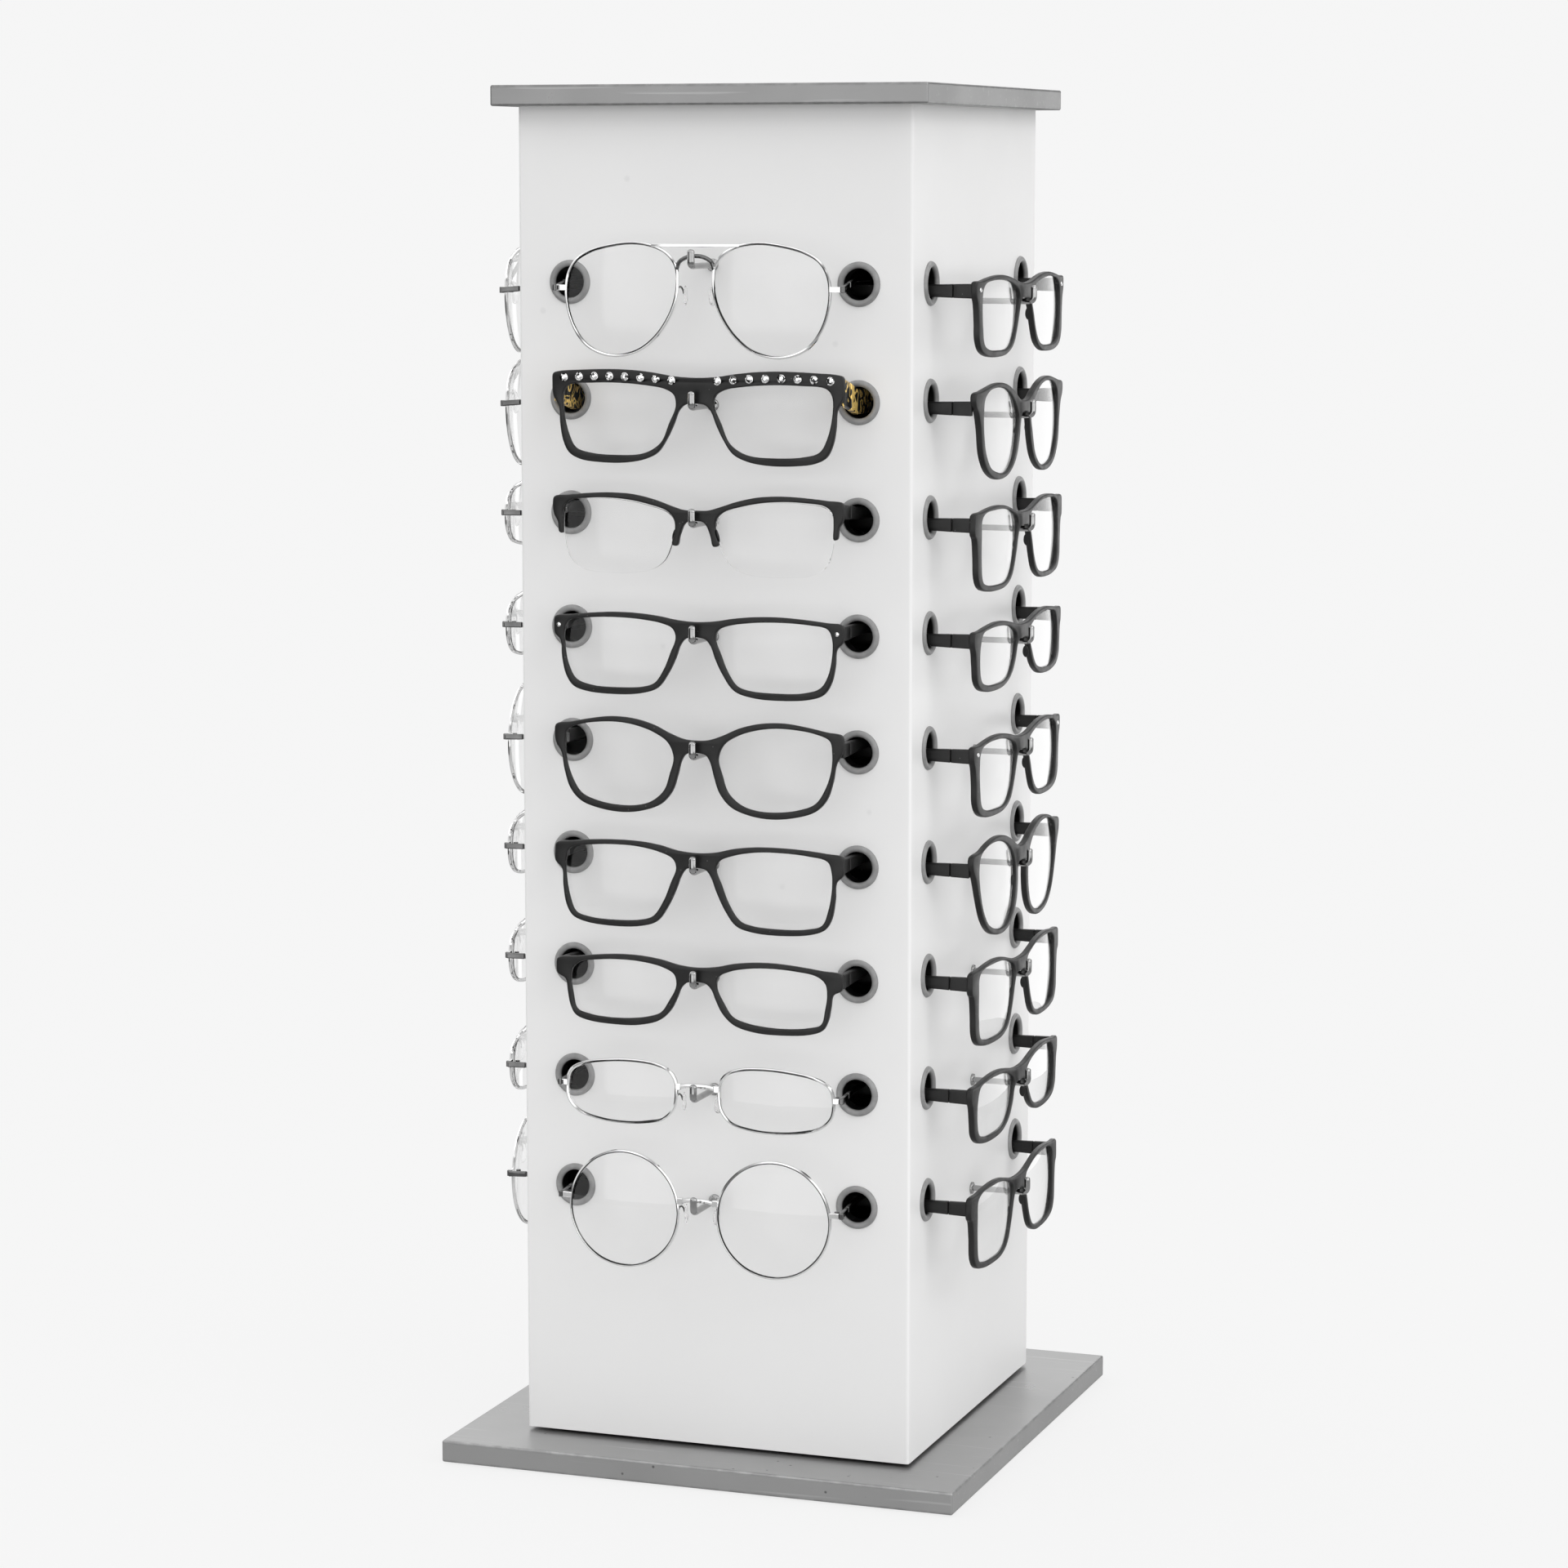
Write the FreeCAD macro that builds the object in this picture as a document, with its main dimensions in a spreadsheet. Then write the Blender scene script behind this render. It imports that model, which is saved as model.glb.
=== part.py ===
import FreeCAD, Part
import Sketcher
import math
import os
from FreeCAD import Vector, Placement, Rotation

# Four-sided countertop display for spectacles: a white square column that turns on a
# flat metal base, with nine hooks and eighteen grommets on every face.  The origin is
# on the table, under the centre of the base; +Z is up and the front face looks to -Y.

doc = FreeCAD.newDocument("eyeglass_display_rack")

# ---------------------------------------------------------------- driving dimensions
DIMENSIONS = [
    ("base_side", 252.2),
    ("base_thick", 10.5),
    ("base_edge", 1.0),
    ("foot_stand", 0.8),
    ("foot_recess", 1.2),
    ("foot_radius", 9.0),
    ("foot_pitch", 212.0),
    ("column_side", 190.0),
    ("column_low", 13.0),
    ("column_top", 632.8),
    ("panel_thick", 6.0),
    ("board_thick", 12.0),
    ("board_low", 19.5),
    ("post_side", 8.0),
    ("top_side", 209.4),
    ("top_thick", 9.5),
    ("bearing_side", 130.0),
    ("bearing_plate", 1.6),
    ("bearing_ring_inner", 50.0),
    ("bearing_ring_outer", 60.0),
    ("bearing_ring_rise", 1.6),
    ("race_radius", 55.0),
    ("race_groove", 2.7),
    ("ball_radius", 2.4),
    ("ball_count", 18),
    ("bearing_screw_pitch", 116.0),
    ("screw_shank", 2.0),
    ("screw_head", 3.9),
    ("screw_head_rise", 1.8),
    ("screw_long", 9.0),
    ("screw_clear", 0.1),
    ("top_screw_pitch", 120.0),
    ("top_screw_long", 18.0),
    ("row_count", 9),
    ("row_pitch", 52.65),
    ("row_low", 132.2),
    ("hole_pitch", 139.2),
    ("hole_radius", 8.5),
    ("grommet_bore", 7.1),
    ("grommet_neck", 8.45),
    ("grommet_flange", 10.1),
    ("grommet_back", 9.6),
    ("grommet_rise", 1.5),
    ("grommet_back_rise", 1.2),
    ("hook_width", 3.0),
    ("hook_thick", 2.8),
    ("hook_reach", 29.2),
    ("hook_tall", 8.9),
    ("hook_bend", 3.6),
    ("stud_radius", 1.5),
    ("stud_past", 3.2),
    ("stud_hole", 1.6),
    ("nut_flats", 5.5),
    ("nut_tall", 2.4),
    ("front_depth", 24.2),
    ("front_bend", 1000.0),
    ("frame_thick", 3.8),
    ("lens_thick", 1.6),
    ("wire_wide", 1.4),
    ("wire_deep", 1.8),
    ("temple_long", 140.0),
    ("temple_straight", 98.0),
    ("temple_thick", 2.8),
    ("temple_drop", 28.0),
]
sheet = doc.addObject("Spreadsheet::Sheet", "dims")
for line, (word, value) in enumerate(DIMENSIONS, start=1):
    sheet.set("A%d" % line, word)
    sheet.set("B%d" % line, str(value))
    sheet.setAlias("B%d" % line, word)
doc.recompute()


def dim(word):
    """The number in the sheet under this alias."""
    return float(sheet.get(word))


nodes = []


def keep(obj, label):
    """Register a finished sub-part under its node name."""
    obj.Label = label
    nodes.append(obj)
    return obj


# ---------------------------------------------------------------- sketch helpers
def plane_of(body, role):
    for feature in body.Origin.OriginFeatures:
        if feature.Role == role:
            return feature
    raise ValueError(role)


def new_body(label):
    body = doc.addObject("PartDesign::Body", label + "_body")
    return keep(body, label)


def new_sketch(body, name, role, lift="0"):
    """An empty sketch on one of the body's origin planes, raised along its normal."""
    sketch = body.newObject("Sketcher::SketchObject", name)
    sketch.AttachmentSupport = (plane_of(body, role), [""])
    sketch.MapMode = "FlatFace"
    sketch.setExpression("AttachmentOffset.Base.z", lift)
    return sketch


def bind(sketch, constraint, formula):
    index = sketch.addConstraint(constraint)
    sketch.setExpression("Constraints[%d]" % index, formula)


def square_outline(sketch, side):
    """A square of the given side, centred on the sketch's origin."""
    corner = [Vector(-1, -1, 0), Vector(1, -1, 0), Vector(1, 1, 0), Vector(-1, 1, 0)]
    first = sketch.GeometryCount
    for index in range(4):
        start, end = corner[index] * 50, corner[(index + 1) % 4] * 50
        sketch.addGeometry(Part.LineSegment(start, end), False)
    for index in range(4):
        sketch.addConstraint(Sketcher.Constraint(
            "Coincident", first + index, 2, first + (index + 1) % 4, 1))
    for index, word in enumerate(("Horizontal", "Vertical", "Horizontal", "Vertical")):
        sketch.addConstraint(Sketcher.Constraint(word, first + index))
    bind(sketch, Sketcher.Constraint("DistanceX", first, 1, first, 2, 100.0), side)
    bind(sketch, Sketcher.Constraint("DistanceY", first + 1, 1, first + 1, 2, 100.0), side)
    sketch.addConstraint(Sketcher.Constraint("Symmetric", first, 1, first + 1, 2, -1, 1))


def circle_at(sketch, radius, across="0", along="0"):
    """A circle whose centre is held by two distances from the sketch's origin."""
    circle = sketch.addGeometry(Part.Circle(Vector(5, 5, 0), Vector(0, 0, 1), 2), False)
    bind(sketch, Sketcher.Constraint("Radius", circle, 2.0), radius)
    if across == "0" and along == "0":
        sketch.addConstraint(Sketcher.Constraint("Coincident", circle, 3, -1, 1))
        return
    bind(sketch, Sketcher.Constraint("DistanceX", -1, 1, circle, 3, 5.0), across)
    bind(sketch, Sketcher.Constraint("DistanceY", -1, 1, circle, 3, 5.0), along)


def four_circles(sketch, radius, pitch):
    for sign_x in (-1, 1):
        for sign_y in (-1, 1):
            circle_at(sketch, radius, "%d * %s / 2" % (sign_x, pitch),
                      "%d * %s / 2" % (sign_y, pitch))


def pad(body, sketch, length, name="pad"):
    feature = body.newObject("PartDesign::Pad", name)
    feature.Profile = sketch
    feature.setExpression("Length", length)
    doc.recompute()
    return feature


def pocket(body, sketch, length, name="pocket", upward=True):
    """Cut the sketch out of the body and make sure that material has gone."""
    before = body.Shape.Volume
    feature = body.newObject("PartDesign::Pocket", name)
    feature.Profile = sketch
    feature.setExpression("Length", length)
    feature.Reversed = upward
    doc.recompute()
    if body.Shape.Volume > before - 0.01:
        raise ValueError("%s cuts nothing" % name)
    return feature


# ---------------------------------------------------------------- base
D = "<<dims>>."
base = new_body("base_plate")
outline = new_sketch(base, "base_outline", "XY_Plane", D + "foot_stand")
square_outline(outline, D + "base_side")
base_pad = pad(base, outline, D + "base_thick")
foot_pockets = new_sketch(base, "base_foot_pockets", "XY_Plane", D + "foot_stand")
four_circles(foot_pockets, D + "foot_radius + 0.1", D + "foot_pitch")
pocket(base, foot_pockets, D + "foot_recess", "foot_pockets")
screw_holes = new_sketch(base, "base_screw_holes", "XY_Plane",
                         D + "foot_stand + " + D + "base_thick")
four_circles(screw_holes, D + "screw_shank + " + D + "screw_clear",
             D + "bearing_screw_pitch")
pocket(base, screw_holes, D + "screw_long - " + D + "bearing_plate + 0.5",
       "screw_holes", upward=False)


def edge_names(shape, wanted):
    return ["Edge%d" % (i + 1) for i, edge in enumerate(shape.Edges) if wanted(edge)]


def outer_edge(half):
    """Straight edges on the rim of a square plate of this half side."""
    def wanted(edge):
        if edge.Curve.TypeId != "Part::GeomLine":
            return False
        points = [v.Point for v in edge.Vertexes]
        on_x = all(abs(abs(p.x) - half) < 1e-4 for p in points)
        on_y = all(abs(abs(p.y) - half) < 1e-4 for p in points)
        return on_x or on_y
    return wanted


def round_plate(body, last, half, radius):
    fillet = body.newObject("PartDesign::Fillet", "rounded_edges")
    fillet.Base = (last, edge_names(last.Shape, outer_edge(half)))
    fillet.setExpression("Radius", radius)
    doc.recompute()


round_plate(base, base.Tip, dim("base_side") / 2, D + "base_edge")


def solid_group(shapes):
    return Part.makeCompound(shapes)


def feature_node(label, shape):
    """A free-form sub-part whose shape comes from Part's own functions."""
    obj = doc.addObject("Part::Feature", label + "_shape")
    obj.Shape = shape
    obj.Placement = shape.Placement
    return keep(obj, label)


def primitive(kind, name, sizes, place):
    """A Part primitive with every size bound to the sheet."""
    obj = doc.addObject(kind, name)
    for prop, formula in sizes.items():
        obj.setExpression(prop, formula)
    obj.Placement = place
    return obj


def four_places(pitch, height, rotation=Rotation()):
    half = dim(pitch) / 2
    return [Placement(Vector(sx * half, sy * half, height), rotation)
            for sx in (-1, 1) for sy in (-1, 1)]


def group_node(label, members):
    obj = doc.addObject("Part::Compound", label + "_group")
    obj.Links = members
    doc.recompute()
    return keep(obj, label)


feet = []
for index, place in enumerate(four_places("foot_pitch", 0.0)):
    feet.append(primitive("Part::Cylinder", "foot_%d" % index,
                          {"Radius": D + "foot_radius",
                           "Height": D + "foot_stand + " + D + "foot_recess"}, place))
group_node("base_feet", feet)

# ---------------------------------------------------------------- turning bearing
plate_low = dim("foot_stand") + dim("base_thick")


def bearing_plate(label, low, ring_from, ring_to, hole_pitch_word, hole_extra):
    """A pressed square plate with a raised ring that carries half of the ball race."""
    body = new_body(label)
    flat = new_sketch(body, label + "_outline", "XY_Plane", low)
    square_outline(flat, D + "bearing_side")
    circle_at(flat, D + "bearing_ring_inner - 8")
    pad(body, flat, D + "bearing_plate", "plate")
    ring = new_sketch(body, label + "_ring", "XY_Plane", ring_from)
    circle_at(ring, D + "bearing_ring_inner")
    circle_at(ring, D + "bearing_ring_outer")
    pad(body, ring, ring_to, "ring")
    holes = new_sketch(body, label + "_holes", "XY_Plane", low)
    four_circles(holes, D + "screw_shank + " + hole_extra, D + hole_pitch_word)
    pocket(body, holes, D + "bearing_plate + 1", "holes")
    section = new_sketch(body, label + "_groove", "XZ_Plane")
    circle_at(section, D + "race_groove", D + "race_radius", "15.4")
    groove = body.newObject("PartDesign::Groove", "race")
    before = body.Shape.Volume
    groove.Profile = section
    groove.ReferenceAxis = (section, ["V_Axis"])
    groove.Angle = 360.0
    doc.recompute()
    if body.Shape.Volume > before - 1.0:
        raise ValueError("the race cuts nothing")
    return body


bearing_plate("bearing_lower_plate", D + "foot_stand + " + D + "base_thick",
              D + "foot_stand + " + D + "base_thick + " + D + "bearing_plate",
              D + "bearing_ring_rise", "bearing_screw_pitch", D + "screw_clear")
bearing_plate("bearing_upper_plate", D + "board_low - " + D + "bearing_plate",
              D + "board_low - " + D + "bearing_plate - " + D + "bearing_ring_rise",
              D + "bearing_ring_rise", "bearing_screw_pitch", D + "screw_clear")

race_height = 15.4 - (dim("race_groove") - dim("ball_radius")) + 0.02
balls = []
for index in range(int(dim("ball_count"))):
    angle = 2 * math.pi * index / dim("ball_count")
    spot = Vector(dim("race_radius") * math.cos(angle),
                  dim("race_radius") * math.sin(angle), race_height)
    balls.append(primitive("Part::Sphere", "ball_%d" % index,
                           {"Radius": D + "ball_radius"}, Placement(spot, Rotation())))
group_node("bearing_balls", balls)


def screw_shapes(places, length, head_radius, head_rise):
    """Round-headed screws that point along -Z of their placement, head on top."""
    shapes = []
    for place in places:
        head = Part.makeCylinder(head_radius, head_rise, Vector(0, 0, 0))
        head = head.makeFillet(head_rise * 0.45, [head.Edges[0]])
        shank = Part.makeCylinder(dim("screw_shank"), length, Vector(0, 0, -length))
        slot_a = Part.makeBox(head_radius * 0.9, 0.8, 0.8,
                              Vector(-head_radius * 0.45, -0.4, head_rise - 0.8))
        slot_b = Part.makeBox(0.8, head_radius * 0.9, 0.8,
                              Vector(-0.4, -head_radius * 0.45, head_rise - 0.8))
        screw = head.fuse(shank).cut(slot_a).cut(slot_b).removeSplitter()
        screw.Placement = place
        shapes.append(screw)
    return solid_group(shapes)


down = Rotation(Vector(1, 0, 0), 180)
feature_node("bearing_base_screws", screw_shapes(
    four_places("bearing_screw_pitch", plate_low + dim("bearing_plate")),
    dim("screw_long"), dim("screw_head"), dim("screw_head_rise")))
feature_node("bearing_column_screws", screw_shapes(
    four_places("bearing_screw_pitch", dim("board_low") - dim("bearing_plate"), down),
    dim("screw_long"), dim("screw_head"), dim("screw_head_rise")))

# ---------------------------------------------------------------- column
inner_side = "(" + D + "column_side - 2 * " + D + "panel_thick)"
bottom_board = new_body("column_bottom_board")
outline = new_sketch(bottom_board, "bottom_board_outline", "XY_Plane", D + "board_low")
square_outline(outline, inner_side)
pad(bottom_board, outline, D + "board_thick")
holes = new_sketch(bottom_board, "bottom_board_holes", "XY_Plane", D + "board_low")
four_circles(holes, D + "screw_shank + " + D + "screw_clear", D + "bearing_screw_pitch")
pocket(bottom_board, holes, D + "screw_long - " + D + "bearing_plate + 0.5", "holes")

top_board = new_body("column_top_board")
outline = new_sketch(top_board, "top_board_outline", "XY_Plane",
                     D + "column_top - " + D + "board_thick")
square_outline(outline, inner_side)
pad(top_board, outline, D + "board_thick")
holes = new_sketch(top_board, "top_board_holes", "XY_Plane",
                   D + "column_top - " + D + "board_thick")
four_circles(holes, D + "screw_shank + " + D + "screw_clear", D + "top_screw_pitch")
pocket(top_board, holes, D + "board_thick + 1", "holes")

top_plate = new_body("top_plate")
outline = new_sketch(top_plate, "top_plate_outline", "XY_Plane", D + "column_top")
square_outline(outline, D + "top_side")
pad(top_plate, outline, D + "top_thick")
holes = new_sketch(top_plate, "top_plate_holes", "XY_Plane", D + "column_top")
four_circles(holes, D + "screw_shank + " + D + "screw_clear", D + "top_screw_pitch")
pocket(top_plate, holes, D + "top_screw_long - " + D + "board_thick + 0.5", "holes")
round_plate(top_plate, top_plate.Tip, dim("top_side") / 2, D + "base_edge")

feature_node("top_plate_screws", screw_shapes(
    four_places("top_screw_pitch", dim("column_top") - dim("board_thick"), down),
    dim("top_screw_long"), dim("screw_head"), dim("screw_head_rise")))

post_low = dim("board_low") + dim("board_thick")
posts = []
for sx in (-1, 1):
    for sy in (-1, 1):
        edge = dim("column_side") / 2 - dim("panel_thick")
        corner = Vector(edge - dim("post_side") if sx > 0 else -edge,
                        edge - dim("post_side") if sy > 0 else -edge, post_low)
        posts.append(primitive(
            "Part::Box", "post_%d_%d" % (sx + 1, sy + 1),
            {"Length": D + "post_side", "Width": D + "post_side",
             "Height": D + "column_top - 2 * " + D + "board_thick - " + D + "board_low"},
            Placement(corner, Rotation())))
group_node("corner_posts", posts)

# Each face of the column is described in its own axes: x across, z up and the face
# looking to -Y at y = -column_side / 2.  A turn about Z takes it to its own side.
FACES = {"front": 0.0, "right": 90.0, "back": 180.0, "left": 270.0}


def turn(face):
    return Rotation(Vector(0, 0, 1), FACES[face])


def row_height(row):
    """Height of the centre of a row's holes; row 1 is the top one."""
    return dim("row_low") + (dim("row_count") - row) * dim("row_pitch")


# Height of the underside of a hook's arm from its row's holes.  The hooks that carry
# an arched bridge, in the top rows of two faces, stand higher.
HOOK_RISE = {"front": -3.6, "right": -10.9, "back": -4.8, "left": -6.9}
HIGH_HOOK_RISE = {"front": 6.7, "left": 4.1}
HIGH_HOOK_ROWS = {"front": 1, "right": 0, "back": 0, "left": 2}


def hook_rise(face, row):
    if row <= HIGH_HOOK_ROWS[face]:
        return HIGH_HOOK_RISE[face]
    return HOOK_RISE[face]


def mitred_panel(face):
    """A panel with 45 degree edges, so that the four meet on the column's corners."""
    body = new_body(face + "_panel")
    sketch = new_sketch(body, face + "_section", "XY_Plane", D + "column_low")
    outer = 95.0
    inner = 89.0
    points = [Vector(-outer, -outer, 0), Vector(outer, -outer, 0),
              Vector(inner, -inner, 0), Vector(-inner, -inner, 0)]
    for index in range(4):
        sketch.addGeometry(Part.LineSegment(points[index], points[(index + 1) % 4]), False)
    for index in range(4):
        sketch.addConstraint(Sketcher.Constraint(
            "Coincident", index, 2, (index + 1) % 4, 1))
    sketch.addConstraint(Sketcher.Constraint("Symmetric", 0, 1, 0, 2, -2))
    sketch.addConstraint(Sketcher.Constraint("Symmetric", 2, 1, 2, 2, -2))
    bind(sketch, Sketcher.Constraint("DistanceX", 0, 1, 0, 2, 190.0), D + "column_side")
    bind(sketch, Sketcher.Constraint("DistanceX", 2, 2, 2, 1, 178.0), inner_side)
    bind(sketch, Sketcher.Constraint("DistanceY", 0, 1, -1, 1, 95.0), D + "column_side / 2")
    bind(sketch, Sketcher.Constraint("DistanceY", 2, 1, -1, 1, 89.0), inner_side + " / 2")
    pad(body, sketch, D + "column_top - " + D + "column_low")
    holes = new_sketch(body, face + "_holes", "XZ_Plane", D + "column_side / 2")
    for sign in (-1, 1):
        circle_at(holes, D + "hole_radius", "%d * %shole_pitch / 2" % (sign, D),
                  D + "row_low")
    low_hook = hook_rise(face, 9) + dim("hook_thick") / 2
    circle_at(holes, D + "stud_hole", "0.0 * 1", D + "row_low + %.2f" % low_hook)
    cut = pocket(body, holes, D + "panel_thick + 1", "bottom_row", upward=False)
    rows = body.newObject("PartDesign::LinearPattern", "rows")
    rows.Originals = [cut]
    rows.Direction = (plane_of(body, "Z_Axis"), [""])
    high = HIGH_HOOK_ROWS[face]
    count = int(dim("row_count")) - high
    rows.setExpression("Length", "%srow_pitch * %d" % (D, count - 1))
    rows.Occurrences = count
    body.Tip = rows
    doc.recompute()
    if high:
        top = new_sketch(body, face + "_top_rows", "XZ_Plane", D + "column_side / 2")
        stud = hook_rise(face, 1) + dim("hook_thick") / 2
        for row in range(1, high + 1):
            height = "%srow_low + %d * %srow_pitch" % (D, dim("row_count") - row, D)
            for sign in (-1, 1):
                circle_at(top, D + "hole_radius", "%d * %shole_pitch / 2" % (sign, D),
                          height)
            circle_at(top, D + "stud_hole", "0.0 * 1", height + " + %.2f" % stud)
        pocket(body, top, D + "panel_thick + 1", "top_rows", upward=False)
    body.Placement = Placement(Vector(0, 0, 0), turn(face))
    return body


for face in FACES:
    mitred_panel(face)


# ---------------------------------------------------------------- grommets and hooks
def placed(shape, face, height=0.0, tilt=0.0):
    """Carry a shape from the front face's axes to a face and a height."""
    lift = Placement(Vector(0, 0, height), turn(face))
    lean = Placement(Vector(0, 0, 0), Rotation(Vector(0, 1, 0), tilt))
    copy = shape.copy()
    copy.Placement = lift.multiply(lean).multiply(copy.Placement)
    return copy


def grommet_shape():
    """A moulded ring: domed flange outside, neck through the panel, flange inside."""
    bore, neck = dim("grommet_bore"), dim("grommet_neck")
    flange, rear = dim("grommet_flange"), dim("grommet_back")
    rise, wall = dim("grommet_rise"), dim("panel_thick")
    crown = (bore + flange) / 2
    start, end = Vector(bore, 0, rise * 0.45), Vector(flange, 0, 0)
    dome = Part.Arc(start, Vector(crown, 0, rise), Vector(flange - 0.1, 0, rise * 0.35))
    points = [Vector(flange - 0.1, 0, rise * 0.35), end, Vector(neck, 0, 0),
              Vector(neck, 0, -wall), Vector(rear, 0, -wall),
              Vector(rear, 0, -wall - dim("grommet_back_rise")),
              Vector(bore, 0, -wall - dim("grommet_back_rise")), start]
    edges = [dome.toShape()]
    for one, two in zip(points[:-1], points[1:]):
        edges.append(Part.LineSegment(one, two).toShape())
    section = Part.Face(Part.Wire(edges))
    ring = section.revolve(Vector(0, 0, 0), Vector(0, 0, 1), 360)
    ring.Placement = Placement(Vector(0, -dim("column_side") / 2, 0),
                               Rotation(Vector(1, 0, 0), 90))
    return ring


ring = grommet_shape()
for face in FACES:
    members = []
    for row in range(1, 10):
        for sign in (-1, 1):
            one = ring.copy()
            one.translate(Vector(sign * dim("hole_pitch") / 2, 0, 0))
            members.append(placed(one, face, row_height(row)))
    feature_node(face + "_grommets", solid_group(members))


def hook_shape():
    """A stout chromed bar that runs out, turns up and ends in a rounded tip.

    Its underside is at z = 0, and a threaded stud on its root passes the panel.
    """
    wide, thick = dim("hook_width"), dim("hook_thick")
    reach, tall, bend = dim("hook_reach"), dim("hook_tall"), dim("hook_bend")
    side = -dim("column_side") / 2

    def at(depth, height):
        return Vector(-wide / 2, side - depth, height)

    inner = bend - thick
    mid = math.sqrt(0.5)
    outline = [
        Part.LineSegment(at(0, 0), at(reach - bend, 0)),
        Part.Arc(at(reach - bend, 0),
                 at(reach - bend + bend * mid, bend - bend * mid), at(reach, bend)),
        Part.LineSegment(at(reach, bend), at(reach, tall)),
        Part.LineSegment(at(reach, tall), at(reach - thick, tall)),
        Part.LineSegment(at(reach - thick, tall), at(reach - thick, bend)),
        Part.Arc(at(reach - thick, bend),
                 at(reach - bend + inner * mid, bend - inner * mid),
                 at(reach - bend, thick)),
        Part.LineSegment(at(reach - bend, thick), at(0, thick)),
        Part.LineSegment(at(0, thick), at(0, 0)),
    ]
    wire = Part.Wire([curve.toShape() for curve in outline])
    bar = Part.Face(wire).extrude(Vector(wide, 0, 0))
    tips = []
    for edge in bar.Edges:
        points = [v.Point for v in edge.Vertexes]
        along_depth = abs(points[0].y - points[-1].y) > thick / 2
        if along_depth and all(abs(p.z - tall) < 1e-4 for p in points):
            tips.append(edge)
    bar = bar.makeFillet(wide * 0.42, tips)
    stud = Part.makeCylinder(dim("stud_radius"), dim("panel_thick") + dim("stud_past") + 1,
                             Vector(0, side - 1, thick / 2), Vector(0, 1, 0))
    collar = Part.makeCylinder(2.9, 1.2, Vector(0, side - 1.2, thick / 2), Vector(0, 1, 0))
    return bar.fuse(collar).fuse(stud).removeSplitter()


def nut_shape():
    """A plain hexagon nut on the stud, against the inside of the panel."""
    flats = dim("nut_flats") / math.sqrt(3)
    corners = [Vector(flats * math.cos(math.radians(60 * k)), 0,
                      flats * math.sin(math.radians(60 * k))) for k in range(7)]
    body = Part.Face(Part.makePolygon(corners)).extrude(Vector(0, dim("nut_tall"), 0))
    bore = Part.makeCylinder(dim("stud_radius") + 0.05, 6, Vector(0, -1, 0), Vector(0, 1, 0))
    nut = body.cut(bore)
    nut.translate(Vector(0, dim("panel_thick") - dim("column_side") / 2,
                         dim("hook_thick") / 2))
    return nut


hook = hook_shape()
nut = nut_shape()
nuts = []
for face in FACES:
    members = []
    for row in range(1, 10):
        height = row_height(row) + hook_rise(face, row)
        members.append(placed(hook, face, height))
        nuts.append(placed(nut, face, height))
    feature_node(face + "_hooks", solid_group(members))
feature_node("hook_nuts", solid_group(nuts))

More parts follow.
